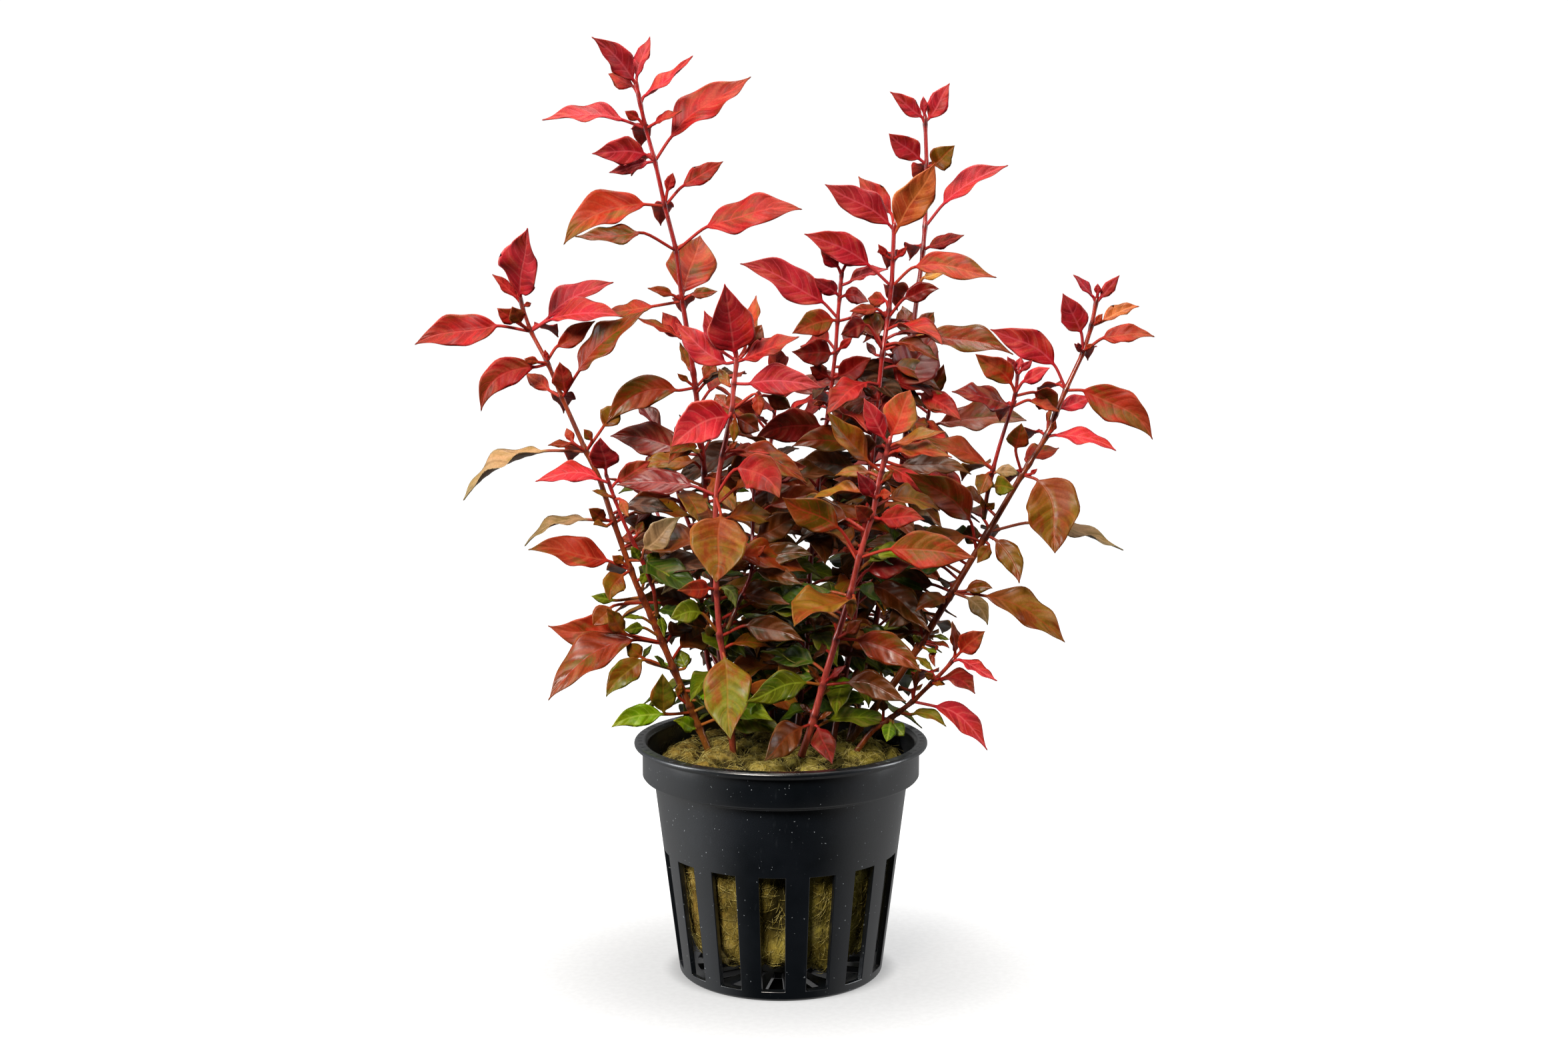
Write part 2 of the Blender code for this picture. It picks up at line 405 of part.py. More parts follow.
            seen(81.4, (39.2, 80.5), (43.6, 72.4), 4.2, -5, 0.9, "olive"),
            seen(80.6, (38, 79.4), (35.8, 76.2), 2.5, -3, 0, "green"),
            seen(81, (36.4, 81.4), (33.1, 81.6), 3.5, 3, 0, "green"),
            seen(78.4, (34.4, 84.2), (22.5, 93), 5.8, -4, 1.0, "brown"),
            seen(70.9, (37.4, 70.2), (52.2, 61.5), 5.4, -4, 1.4, "brown"),
            seen(70.9, (34.2, 69.8), (37.9, 64.7), 3.2, -7, 0.8, "olive"),
            seen(71, (34, 71.2), (38.8, 71.6), 2.6, -2, 0.5, "orange"),
            seen(70.9, (27.8, 72.3), (17.2, 70.8), 5.0, 3, 0.8, "green"),
            seen(70, (30, 69.9), (24.6, 67.2), 3.2, -3, 0.5, "brown"),
            seen(62, (24.2, 69), (19.6, 64.4), 4.4, -3, 0, "dark"),
            seen(62, (28.2, 61.5), (31, 60.4), 1.1, -3, 0.3, "brown"),
            seen(61.6, (28.7, 60.6), (28.4, 56.9), 1.2, -3, 0.6, "brown"),
            seen(62.4, (28.3, 62.7), (31, 62.1), 1.0, -1, 0, "green"),
            seen(61, (26.9, 60.3), (28.8, 59.6), 1.0, -2, 0, "green"),
            seen(61.6, (25.4, 61.8), (24.3, 63), 1.6, -3, 0, "green"),
            seen(62.4, (25.8, 64.2), (26.5, 66.9), 1.8, 2, 0, "olive"),
            seen(58, (25.2, 58.6), (28.2, 56.3), 1.3, -3, 0, "olive"),
        ),
    },
    "right_branch": {
        "line": (
            (37, 84.4, -3), (37.4, 88.3, -4), (38.5, 93.4, -5), (39.7, 98, -5), (41.4, 103.6, -5),
            (42.5, 107.5, -6), (42.8, 111.5, -6),
        ),
        "radius": (0.5, 0.38),
        "leaves": (
            seen(110.6, (42.3, 111.6), (40.8, 114), 1.6, -2, 0, "red"),
            seen(110.6, (43.4, 111.4), (45.4, 113.3), 1.5, -2, 0, "red"),
            seen(110.6, (42.9, 112), (43.3, 113.8), 1.4, 1, 0, "red"),
            seen(107.2, (41.6, 109), (35, 114.4), 4.4, -3, 0.4, "orange"),
            seen(107.4, (43.8, 109.4), (48.6, 111.9), 2.6, -3, 0, "pink"),
            seen(106.8, (46, 107.4), (49.3, 103.9), 4.4, 6, 0.6, "pink"),
            seen(105, (41.2, 105), (30.8, 107.6), 4.0, -4, 0.3, "maroon"),
            seen(104.8, (45, 106), (50.5, 103.9), 1.8, 2, 0, "brown"),
            seen(93.4, (37.6, 94), (25.5, 99.2), 3.4, -3, 0.5, "brown"),
            seen(93, (37.5, 92.6), (35.9, 88.7), 3.4, -5, 0, "olive"),
            seen(92.6, (39.2, 93), (43.2, 92.5), 2.4, -2, 0.4, "lime"),
            seen(90.4, (38.8, 90.4), (42.4, 89.9), 3.5, -6, 0.3, "olive"),
            seen(86.4, (37.8, 86.4), (38.9, 87.4), 1.6, -2, 0, "olive"),
            seen(86, (36.8, 86.6), (36.5, 88.5), 1.0, -2, 0, "dark"),
        ),
    },
    "low_right": {
        "line": (
            (13.6, 40.6, -4), (16.8, 45, -6), (21, 47.9, -7), (24.3, 50.5, -8), (28.4, 54.6, -9),
            (31, 57.4, -10), (32.3, 59.2, -10),
        ),
        "radius": (0.75, 0.42),
        "leaves": (
            seen(58.4, (32, 59.6), (31.4, 65.6), 2.0, -1, 0, "brown"),
            seen(58.4, (33, 59.8), (37.5, 63.7), 4.0, -3, 0.2, "red"),
            seen(58, (32.9, 58.3), (39.9, 54.3), 2.1, -5, 0, "pink"),
            seen(54.6, (29.2, 54.7), (35.8, 51.9), 3.4, -4, 1.2, "red"),
            seen(54.6, (27.9, 54.9), (26.4, 55.9), 1.5, -2, 0, "orange"),
            seen(54, (28.4, 53.8), (30.3, 53.8), 1.1, -4, 0, "olive"),
            seen(50.5, (28.4, 49.6), (38.2, 41.2), 4.2, -4, 1.4, "pink"),
            seen(50.5, (24.7, 53.3), (25.3, 56.6), 1.3, -3, 0, "brown"),
            seen(48.4, (24.2, 48.1), (30.6, 45.7), 2.0, -5, 0.9, "olive"),
            seen(47.4, (20.2, 46.4), (19.5, 42.9), 2.7, -5, 0, "lime"),
            seen(47.4, (20.9, 46.2), (22.8, 44), 2.7, -2, 0, "lime"),
            seen(46.4, (18.9, 48.8), (18.9, 51), 1.7, -1, 0, "green"),
        ),
    },
    "back_left": {
        "line": (
            (-10, 44.5, 14), (-13.4, 58, 15), (-15.2, 75, 14), (-16.2, 82, 14), (-18.4, 88, 15), (-20.5, 97, 17),
        ),
        "radius": (0.75, 0.42),
        "leaves": (
            seen(79, (-17, 79.6), (-19.7, 82.8), 2.7, -4, 0, "olive"),
            seen(87.4, (-19.6, 87.8), (-28.3, 86.6), 3.4, -3, 0.9, "maroon"),
            seen(77, (-16.8, 77.2), (-19.8, 78.6), 2.0, -2, 0, "green"),
            seen(74.6, (-16.6, 74.4), (-21.9, 70.4), 3.2, -9, 0, "grey"),
            seen(68, (-16, 68.6), (-26, 70), 4.4, -8, 0.5, "dark"),
        ),
    },
    "back_middle": {
        "line": ((-1.5, 44.4, 13), (-2.4, 60, 20), (-3.2, 78, 27), (-2.2, 95, 33), (-0.6, 108, 36)),
        "radius": (0.8, 0.4),
        "leaves": (),
    },
    "back_right": {
        "line": (
            (5.6, 44, 12), (10.4, 60, 19), (17, 78, 25), (23.4, 94, 28), (26.2, 100.6, 28), (27, 105, 28),
        ),
        "radius": (0.8, 0.4),
        "leaves": (
            seen(100.6, (28.6, 101.8), (44.6, 102.3), 5.2, -6, 0.8, "brown"),
            seen(103.4, (27.1, 106.6), (29.4, 112.6), 3.4, -4, 0, "orange"),
            seen(99, (25.2, 99.6), (21.6, 102), 2.2, -4, 0, "olive"),
        ),
    },
    "back_far_left": {
        "line": ((-6.4, 45, 16), (-12, 58, 27), (-18, 72, 36), (-23, 87, 42)),
        "radius": (0.75, 0.4),
        "leaves": (),
    },
    "back_far_right": {
        "line": ((3.4, 45.2, 17), (9.4, 58, 30), (15.8, 71, 40), (21.6, 84, 46)),
        "radius": (0.75, 0.4),
        "leaves": (),
    },
}

# Where the side that is not seen has leaf pairs: the lowest and highest joint of each stem, how far apart
# the joints are, the blade's length, the ways that its pairs may point, and the tones from low to high.
GROWN_PAIRS = {
    "back_middle": (52, 107.6, 7.9, 14.0, (0, 90), ("green", "olive", "brown", "maroon", "red")),
    "back_right": (52, 96, 8.8, 14.0, (0, 90), ("green", "olive", "brown", "maroon")),
    "back_left": (52, 96.6, 8.9, 13.0, (35, 125), ("green", "olive", "brown", "maroon")),
    "back_far_left": (54, 86.6, 8.1, 13.0, (0, 90), ("green", "olive", "brown", "red")),
    "back_far_right": (54, 83.6, 7.4, 13.0, (0, 90), ("green", "olive", "brown", "red")),
    "tall_left": (56, 104, 10.0, 12.0, (70, 110), ("green", "olive", "dark")),
    "right_middle": (54, 96, 10.0, 12.0, (70, 20), ("green", "olive", "dark")),
    "middle": (54, 96, 9.0, 12.0, (20, 100), ("green", "olive", "dark")),
    "tall_right": (54, 112, 9.5, 12.0, (75, 105), ("green", "olive", "brown")),
}
# Single leaves that point away from the viewer on the shoots in front: the heights of their joints.
BACK_LEAVES = {
    "tall_left": (124, 141, 149, 155),
    "left": (56.5, 62, 75, 84, 97, 106.5, 118.6),
    "front_left": (63, 96.2, 104.4),
    "front_right": (62.4, 77.4, 96),
    "tall_right": (133, 148),
    "right_middle": (121, 126.5, 131.5),
    "right": (62, 71, 82, 92.6, 99.5, 108, 114.7),
    "right_branch": (93.5, 105),
    "low_right": (50.6, 54.7),
}


def at(x, z, y=0.0):
    # The real point, y behind the middle plane, that is seen at x and z on that plane.
    reach = (y - VIEW_POINT.y) / -VIEW_POINT.y
    return VIEW_POINT + (Vector((x, 0.0, z)) - VIEW_POINT) * reach


def stem_at(shoot, height):
    # The stem's point seen at this height, its depth, its radius there and the way it runs.
    line = shoot["line"]
    low, high = line[0][1], line[-1][1]
    height = min(max(height, low), high)
    for (x0, z0, y0), (x1, z1, y1) in zip(line, line[1:]):
        if height <= z1:
            share = (height - z0) / (z1 - z0)
            x = x0 + (x1 - x0) * share
            y = y0 + (y1 - y0) * share
            along = (at(x1, z1, y1) - at(x0, z0, y0)).normalized()
            break
    foot, top = shoot["radius"]
    return Vector((x, height)), y, foot + (top - foot) * (height - low) / (high - low), along


def seen_blade(shoot, leaf, shift, stretch, fused):
    # The blade that looks as the leaf does from the front, with its tip moved by shift along the view.
    joint, depth, radius, stem_way = stem_at(shoot, leaf.joint)
    base, tip = Vector(leaf.base), Vector(leaf.tip)
    tip = base + (tip - base) * stretch
    stalk, length = (base - joint).length, (tip - base).length
    hidden = math.sqrt(max((1.7 * leaf.width) ** 2 - length**2, 0.0))
    away = math.copysign(max(abs(leaf.y), hidden), leaf.y) + shift
    joint3 = at(joint.x, joint.y, depth)
    tip3 = at(tip.x, tip.y, depth + away)
    base3 = at(base.x, base.y, depth + away * stalk / (stalk + length))
    axis = (tip3 - base3).normalized()
    to_eye = (VIEW_POINT - base3).normalized()
    facing = (to_eye - axis * to_eye.dot(axis)).normalized()
    side = axis.cross(facing)
    width = max(leaf.width, BLADE_WIDTH_TO_LENGTH * (tip3 - base3).length)
    shown = leaf.width / width
    hidden_part = side * math.sqrt(1 - shown**2)
    normal = max((facing * shown + hidden_part, facing * shown - hidden_part), key=lambda n: n.z)
    arch = to_eye.cross(axis).normalized()
    arch = arch * math.copysign(leaf.bow, arch.z * leaf.bow) if leaf.bow else Vector()
    start = stalk_start(joint3, radius, stem_way, base3, fused)
    return Blade(start, base3, tip3, width / 2, normal, arch)


def grown_blade(shoot, leaf, turn, stretch, fused):
    # A blade that points a given way round its stem and hangs a little at its tip.
    joint, depth, radius, stem_way = stem_at(shoot, leaf.joint)
    joint3 = at(joint.x, joint.y, depth)
    way = math.radians(leaf.azimuth + turn)
    out = Vector((math.cos(way), math.sin(way), 0))
    base3 = joint3 + (out + Vector((0, 0, leaf.rise))) * leaf.length * 0.3
    tip3 = base3 + (out + Vector((0, 0, leaf.rise - 0.55))) * leaf.length * stretch
    axis = (tip3 - base3).normalized()
    side = Vector((0, 0, 1)).cross(axis).normalized()
    normal = axis.cross(side)
    start = stalk_start(joint3, radius, stem_way, base3, fused)
    return Blade(start, base3, tip3, leaf.length * 0.19, normal, normal * leaf.length * 0.07)


def stalk_start(joint, radius, stem_way, base, fused):
    # A fused leaf starts inside its stem, and a leaf of its own starts a gap outside it.
    if fused:
        return joint
    lead = (base - joint).normalized()
    slant = lead.dot(stem_way)
    out = (lead - stem_way * slant).normalized()
    return joint + out * (radius * STEM_CORNER + GAP + STALK_RADIUS * abs(slant)) + stem_way * slant * 0.5


def ring_of_blade(centre, side, up, half, lift, corners):
    # Across the blade: its two raised edges and its thick middle, which on a small blade is a keel only.
    below = centre - up * BLADE_THICKNESS / 2
    right, left = centre + side * half + up * lift, centre - side * half + up * lift
    return (right, left, below) if corners == 3 else (right, centre + up * BLADE_THICKNESS / 2, left, below)


def blade_form(blade, stations, corners):
    # The leaf's straight stalk and its folded, tapered blade as one closed form: rings of points and a tip.
    middle = (blade.base + blade.tip) / 2 + blade.arch * 2
    stalk = blade.base - blade.start
    rings = []
    for share, part in stations:
        first, second = blade.base.lerp(middle, share), middle.lerp(blade.tip, share)
        along = (second - first).normalized()
        if share == 0:
            along = (along + stalk.normalized() * 0.9).normalized()
        side = along.cross(blade.normal).normalized()
        half = max(blade.half * part, STALK_RADIUS)
        lift = half * BLADE_FOLD if share else STALK_RADIUS / 2
        rings.append(ring_of_blade(first.lerp(second, share), side, side.cross(along), half, lift, corners))
    if stations[0][0] == 0:
        stalk_ring = [point - stalk for point in rings[0]]
    else:
        side = stalk.cross(blade.normal).normalized()
        up = side.cross(stalk.normalized())
        stalk_ring = ring_of_blade(blade.start, side, up, STALK_RADIUS, STALK_RADIUS / 2, corners)
    rings.insert(0, stalk_ring)
    points = [point for ring in rings for point in ring] + [blade.tip]
    faces = [tuple(reversed(range(corners)))]
    for number in range(len(rings) - 1):
        first = number * corners
        for corner in range(corners):
            here, following = first + corner, first + (corner + 1) % corners
            faces.append((here, following, following + corners, here + corners))
    last = len(points) - 1 - corners
    faces += [(last + corner, last + (corner + 1) % corners, last + corners) for corner in range(corners)]
    return outward(points, faces)


def outward(points, faces):
    # The same form with its faces turned to point out.
    mesh = bmesh.new()
    made = [mesh.verts.new(point) for point in points]
    for face in faces:
        mesh.faces.new([made[index] for index in face])
    bmesh.ops.triangulate(mesh, faces=mesh.faces[:])
    bmesh.ops.recalc_face_normals(mesh, faces=mesh.faces[:])
    mesh.verts.index_update()
    faces = [tuple(vert.index for vert in face.verts) for face in mesh.faces]
    mesh.free()
    return [Vector(point) for point in points], faces


def tube_form(points, radii, sides):
    # A closed tube through the points, with flat sides and ends: its rings all lie the same way.
    along = (points[-1] - points[0]).normalized()
    side = Vector((0, 1, 0)).cross(along).normalized()
    up = along.cross(side)
    ring_points = []
    for point, radius in zip(points, radii):
        for corner in range(sides):
            angle = math.tau * (corner + 0.5) / sides
            ring_points.append(point + (side * math.cos(angle) + up * math.sin(angle)) * radius)
    faces = [tuple(range(sides)), tuple(len(ring_points) - sides + corner for corner in range(sides))]
    for number in range(len(points) - 1):
        first = number * sides
        for corner in range(sides):
            following = (corner + 1) % sides
            faces.append(
                (first + corner, first + following, first + sides + following, first + sides + corner)
            )
    return outward(ring_points, faces)


def stem_points(shoot):
    # A stem bends a little below each joint, and one that stands in the rockwool runs on into its socket.
    line = [at(x, z, y) for x, z, y in shoot["line"]]
    points = [line[0]]
    for before, point, after in zip(line, line[1:], line[2:]):
        across = (after - points[-1]).normalized()
        bend = (point - points[-1]).cross(across).length
        if bend > STRAIGHT_WITHIN:
            points.append(point + (before - point).normalized() * JOINT_TO_RING)
    points.append(line[-1])
    if shoot["line"][0][1] < 50:
        down = (points[0] - points[1]).normalized() + Vector((0, 0, -1))
        points.insert(0, points[0] + down.normalized() * SOCKET_DEPTH)
    return points


def stem_form(shoot):
    points = stem_points(shoot)
    foot, top = shoot["radius"]
    count = len(points) - 1
    radii = [(foot + (top - foot) * number / count) * STEM_CORNER for number in range(count + 1)]
    return tube_form(points, radii, STEM_SIDES)


def socket_form(shoot):
    # The hole that a stem stands in, a gap wider than the stem and open at the top of the rockwool.
    inner, surface, above = stem_points(shoot)[:3]
    inner = inner + (inner - surface).normalized() * GAP
    mouth = surface + (above - surface).normalized() * 4
    radius = shoot["radius"][0] * STEM_CORNER + GAP / math.cos(math.pi / STEM_SIDES)
    return tube_form([inner, surface, mouth], [radius] * 3, STEM_SIDES)


def pot_profile():
    # Outer and inner points of the pot's wall, as (radius, height), from the base's middle to the rim.
    def outer_radius(height):
        return BASE_RADIUS + (NECK_RADIUS - BASE_RADIUS) * height / (COLLAR_BOTTOM - 0.6)

    collar_inner = COLLAR_RADIUS - WALL
    rim_bottom = RIM_HEIGHT - RIM_THICKNESS
    return (
        ((0, 0), (0, BASE_THICKNESS)),
        ((BASE_DISC_RADIUS, 0), (BASE_DISC_RADIUS, BASE_THICKNESS)),
        ((BASE_SLOT_END, 0), (BASE_SLOT_END, BASE_THICKNESS)),
        ((BASE_RADIUS, 0), (BASE_RADIUS - WALL, BASE_THICKNESS)),
        ((outer_radius(SLOT_BOTTOM), SLOT_BOTTOM), (outer_radius(SLOT_BOTTOM) - WALL, SLOT_BOTTOM)),
        ((outer_radius(SLOT_TOP), SLOT_TOP), (outer_radius(SLOT_TOP) - WALL, SLOT_TOP)),
        ((NECK_RADIUS, COLLAR_BOTTOM - 0.6), (NECK_RADIUS - WALL, COLLAR_BOTTOM + 0.4)),
        ((COLLAR_RADIUS, COLLAR_BOTTOM), (collar_inner, COLLAR_BOTTOM + 1.2)),
        ((COLLAR_RADIUS, rim_bottom - 0.3), (collar_inner, rim_bottom - 0.3)),
        ((RIM_RADIUS, rim_bottom), (collar_inner, rim_bottom + 0.2)),
        ((RIM_RADIUS, RIM_HEIGHT), (RIM_INNER_RADIUS, RIM_HEIGHT)),
    )


def pot_form():
    # The wall is cut into cells round the axis and along its profile, and the slots are left out.
    profile = pot_profile()
    step = math.tau / SLOT_COUNT
    angles = []
    for number in range(SLOT_COUNT):
        middle = FIRST_SLOT + number * step
        angles += [middle - SLOT_SPAN / 2, middle + SLOT_SPAN / 2]
    count = len(angles)
    base_slot_band, wall_slot_band = 1, 4

    def filled(sector, band):
        in_slot = sector % 2 == 0 and band in (base_slot_band, wall_slot_band)
        return 0 <= band < len(profile) - 1 and not in_slot

    points, index = [], {}

    def corner(sector, station, inner):
        radius, height = profile[station][inner]
        key = (sector % count if radius else 0, station, inner)
        if key not in index:
            index[key] = len(points)
            angle = angles[sector % count]
            points.append(Vector((radius * math.cos(angle), radius * math.sin(angle), height)))
        return index[key]

    faces = []

    def add_face(*corners):
        faces.append([corner(*place) for place in corners])

    for sector in range(count):
        for band in range(len(profile) - 1):
            if not filled(sector, band):
                continue
            low, high, left, right = band, band + 1, sector, sector + 1
            for side in (0, 1):
                add_face((left, low, side), (right, low, side), (right, high, side), (left, high, side))
            for edge, beyond in ((low, band - 1), (high, band + 1)):
                if beyond >= 0 and not filled(sector, beyond):
                    add_face((left, edge, 0), (right, edge, 0), (right, edge, 1), (left, edge, 1))
            for edge, beyond in ((left, sector - 1), (right, sector + 1)):
                if not filled(beyond % count, band):
                    add_face((edge, low, 0), (edge, high, 0), (edge, high, 1), (edge, low, 1))
    faces = [tuple(dict.fromkeys(face)) for face in faces]
    return outward(points, faces)


def wool_form():
    # A lumpy plug with upright folds, ragged at the bottom and a little narrower than the pot.
    rng = random.Random(7)
    rings = (
        (15.6, WOOL_BOTTOM + 0.9, 1.0), (16.9, WOOL_BOTTOM + 3.6, 0.5), (18.6, 19.0, 0.4), (20.6, 32.0, 0.4),
        (22.0, 38.6, 0.3), (20.6, WOOL_TOP - 0.5, 0.4), (12.5, WOOL_TOP + 0.1, 0.7),
    )
    points = [Vector((0, 0, WOOL_BOTTOM + 1.5))]
    for radius, height, roughness in rings:
        for number in range(WOOL_SIDES):
            angle = math.tau * number / WOOL_SIDES
            fold = -0.35 if number % 3 == 1 else 0.1
            reach = radius + fold + rng.uniform(-0.25, 0.25)
            lump = rng.uniform(-roughness, roughness)
            points.append(Vector((reach * math.cos(angle), reach * math.sin(angle), height + lump)))
    points.append(Vector((0, 0, WOOL_TOP + 0.2)))
    last = len(points) - 1
    faces = []
    for number in range(WOOL_SIDES):
        following = (number + 1) % WOOL_SIDES
        faces.append((0, 1 + following, 1 + number))
        top = 1 + (len(rings) - 1) * WOOL_SIDES
        faces.append((last, top + number, top + following))
        for ring in range(len(rings) - 1):
            first = 1 + ring * WOOL_SIDES
            above = first + WOOL_SIDES
            faces.append((first + number, first + following, above + following, above + number))
    return outward(points, faces)


def blade_area(leaf):
    return leaf.width * (Vector(leaf.tip) - Vector(leaf.base)).length


def grown_leaves(name, shoot, rng):
    # Pairs of leaves up the stem, each pair turned across the last, and single leaves that point back.
    leaves = []
    if name in GROWN_PAIRS:
        low, high, step, length, ways, tones = GROWN_PAIRS[name]
        count = int((high - low) / step) + 1
        for number in range(count):
            share = number / (count - 1)
            tone = tones[min(int(share * len(tones)), len(tones) - 1)]
            young = share > 0.85
            for opposite in (0, 180):
                azimuth = ways[number % 2] + opposite + rng.uniform(-14, 14)
                size = length * rng.uniform(0.85, 1.1) * (0.7 if young else 1.0)
                rise = rng.uniform(0.1, 0.35) + (0.9 if young else 0.0)
                leaves.append(GrownLeaf(low + number * step, azimuth, size, rise, tone, name))
    low, high = shoot["line"][0][1], shoot["line"][-1][1]
    for joint in BACK_LEAVES.get(name, ()):
        share = (joint - low) / (high - low)
        tone = "olive" if share < 0.35 else "brown" if share < 0.6 else "red"
        azimuth = 90 + rng.uniform(-20, 20)
        leaves.append(GrownLeaf(joint, azimuth, rng.uniform(9.0, 12.0), rng.uniform(0.1, 0.3), tone, name))
    return leaves


def box_of(points):
    return [(min(p[axis] for p in points), max(p[axis] for p in points)) for axis in range(3)]


def boxes_meet(first, second):
    return all(a[0] < b[1] and b[0] < a[1] for a, b in zip(first, second))


def solid_of(form):
    return box_of(form[0]), BVHTree.FromPolygons(*form)


def crosses(solid, others):
    return any(boxes_meet(solid[0], box) and solid[1].overlap(tree) for box, tree in others)


def settle(make, tries, stations, corners, others, near):
    # The first of the tried places where the leaf crosses nothing of another stem, nor, if that can be
    # had, what its own stem carries. Two leaves of one stem are held apart from where they leave it.
    for stretch in LENGTH_TRIES:
        for neighbours in (near, ()):
            for change in tries:
                fused = blade_form(make(change, stretch, True), stations, corners)
                free = blade_form(make(change, stretch, False), stations, corners)
                clear = not crosses(solid_of(free), neighbours)
                if clear and not crosses(solid_of(fused if near else free), others):
                    return fused, free
    return None


def stations_of(leaf):
    # The stations along the blade and the corners across it, by the blade's size and its stalk.
    large, middling, small = BLADE_AREAS
    if isinstance(leaf, GrownLeaf):
        return SMALL_BLADE, 3
    area = blade_area(leaf)
    if area > large:
        return LARGE_BLADE, 4
    if area > middling:
        return MIDDLE_BLADE, 3
    if area < small:
        return BUD, 3
    stalk = (Vector(leaf.base) - stem_at(SHOOTS[leaf.shoot], leaf.joint)[0]).length
    return (SMALL_BLADE if stalk > 2.2 else STALKLESS_BLADE), 3


def plan_leaves():
    # Which leaf is a solid of its own, and where each leaf settles clear of the other solids.
    every = [
        (leaf._replace(shoot=name), number + 1)
        for name, shoot in SHOOTS.items()
        for number, leaf in enumerate(shoot["leaves"])
    ]
    every.sort(key=lambda entry: blade_area(entry[0]), reverse=True)
    jobs = [(leaf, number, rank < LEAF_NODES) for rank, (leaf, number) in enumerate(every)]
    rng = random.Random(11)
    jobs += [(leaf, 0, False) for name, shoot in SHOOTS.items() for leaf in grown_leaves(name, shoot, rng)]
    solids = {name: [solid_of(stem_form(shoot))] for name, shoot in SHOOTS.items()}
    carried = {name: [solids[name][0]] for name in SHOOTS}
    solids["pot"] = [solid_of(pot_form()), solid_of(wool_form())]
    own, fused = [], {name: [] for name in SHOOTS}
    for leaf, number, alone in jobs:
        name = leaf.shoot
        maker, tries = (seen_blade, DEPTH_TRIES) if isinstance(leaf, SeenLeaf) else (grown_blade, TURN_TRIES)
        others = [solid for group, near in solids.items() if alone or group != name for solid in near]
        forms = settle(
            lambda change, stretch, joined: maker(SHOOTS[name], leaf, change, stretch, joined),
            tries,
            *stations_of(leaf),
            others,
            [] if alone else carried[name],
        )
        if forms is None:
            print("no room for", leaf)
        elif alone:
            label = f"{name}_leaf_{number:02d}"
            own.append((label, forms[1], LEAF_FINISH[leaf.tone]))
            solids[label] = [solid_of(forms[1])]
        else:
            fused[name].append(forms[0])
            solids[name].append(solid_of(forms[0]))
            carried[name].append(solid_of(forms[1]))
    return own, fused


def finish(name):
    material = bpy.data.materials.get(name)
    if material is None:
        colour, roughness = FINISHES[name]
        material = bpy.data.materials.new(name)
        material.use_nodes = True
        shader = material.node_tree.nodes["Principled BSDF"]
        shader.inputs["Base Color"].default_value = (*colour, 1)
        shader.inputs["Roughness"].default_value = roughness
        material.diffuse_color = (*colour, 1)
    return material


def add_solid(name, form, finish_name, collection=None):
    points, faces = form
    mesh = bpy.data.meshes.new(name)
    mesh.from_pydata([point * MM for point in points], [], faces)
    mesh.materials.append(finish(finish_name))
    mesh.shade_smooth()
    mesh.set_sharp_from_angle(angle=math.radians(40))
    solid = bpy.data.objects.new(name, mesh)
    (collection or bpy.context.scene.collection).objects.link(solid)
    return solid


def add_tools(target, label, forms, operation):
    # Hidden forms that a Boolean joins to the solid or cuts from it.
    tools = bpy.data.collections.new(label)
    bpy.context.scene.collection.children.link(tools)
    tools.hide_render = True
    for number, form in enumerate(forms):
        tool = add_solid(f"{label}_{number + 1:02d}", form, target.data.materials[0].name, tools)
        tool.hide_render = True
        tool.display_type = "WIRE"
    modifier = target.modifiers.new(label, "BOOLEAN")
    modifier.operation = operation
    modifier.operand_type = "COLLECTION"
    modifier.collection = tools
    modifier.solver = "EXACT"


def clear_scene():
    for item in list(bpy.data.objects):
        bpy.data.objects.remove(item)


def main():
    clear_scene()
    add_solid("net_pot", pot_form(), "pot_plastic")
    wool = add_solid("rockwool", wool_form(), "rockwool")
    standing = [shoot for shoot in SHOOTS.values() if shoot["line"][0][1] < 50]
    add_tools(wool, "stem_sockets", [socket_form(shoot) for shoot in standing], "DIFFERENCE")
    own_forms, fused_forms = plan_leaves()
    for name, shoot in SHOOTS.items():
        stem = add_solid(f"{name}_stem", stem_form(shoot), "stem")
        if fused_forms[name]:
            add_tools(stem, f"{name}_small_leaves", fused_forms[name], "UNION")
    for name, form, finish_name in own_forms:
        add_solid(name, form, finish_name)


main()
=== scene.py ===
# Ludwigia repens: red and olive shoots in a plug of rockwool, standing in a black slotted net pot.
# Lengths are in millimetres until a mesh is made. The plant is laid out as it is seen from the front:
# x and z are read on the upright plane through the pot's axis, and y says how far behind it a point is.

import math
import random
from collections import namedtuple
from functools import partial

import bmesh
import bpy
import numpy as np
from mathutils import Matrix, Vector, kdtree, noise


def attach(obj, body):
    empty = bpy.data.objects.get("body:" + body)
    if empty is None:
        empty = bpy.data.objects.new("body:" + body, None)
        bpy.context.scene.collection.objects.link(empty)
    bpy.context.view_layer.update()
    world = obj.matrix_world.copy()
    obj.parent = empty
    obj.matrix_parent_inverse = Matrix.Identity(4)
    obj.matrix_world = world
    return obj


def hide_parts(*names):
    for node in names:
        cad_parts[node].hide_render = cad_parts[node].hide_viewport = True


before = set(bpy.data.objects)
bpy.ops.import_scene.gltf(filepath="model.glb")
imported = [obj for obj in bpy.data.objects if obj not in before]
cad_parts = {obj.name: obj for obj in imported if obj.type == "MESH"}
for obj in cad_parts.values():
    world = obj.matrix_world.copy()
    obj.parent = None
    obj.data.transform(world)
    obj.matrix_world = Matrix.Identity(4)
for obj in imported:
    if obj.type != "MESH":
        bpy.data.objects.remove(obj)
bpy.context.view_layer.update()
mm = 0.001


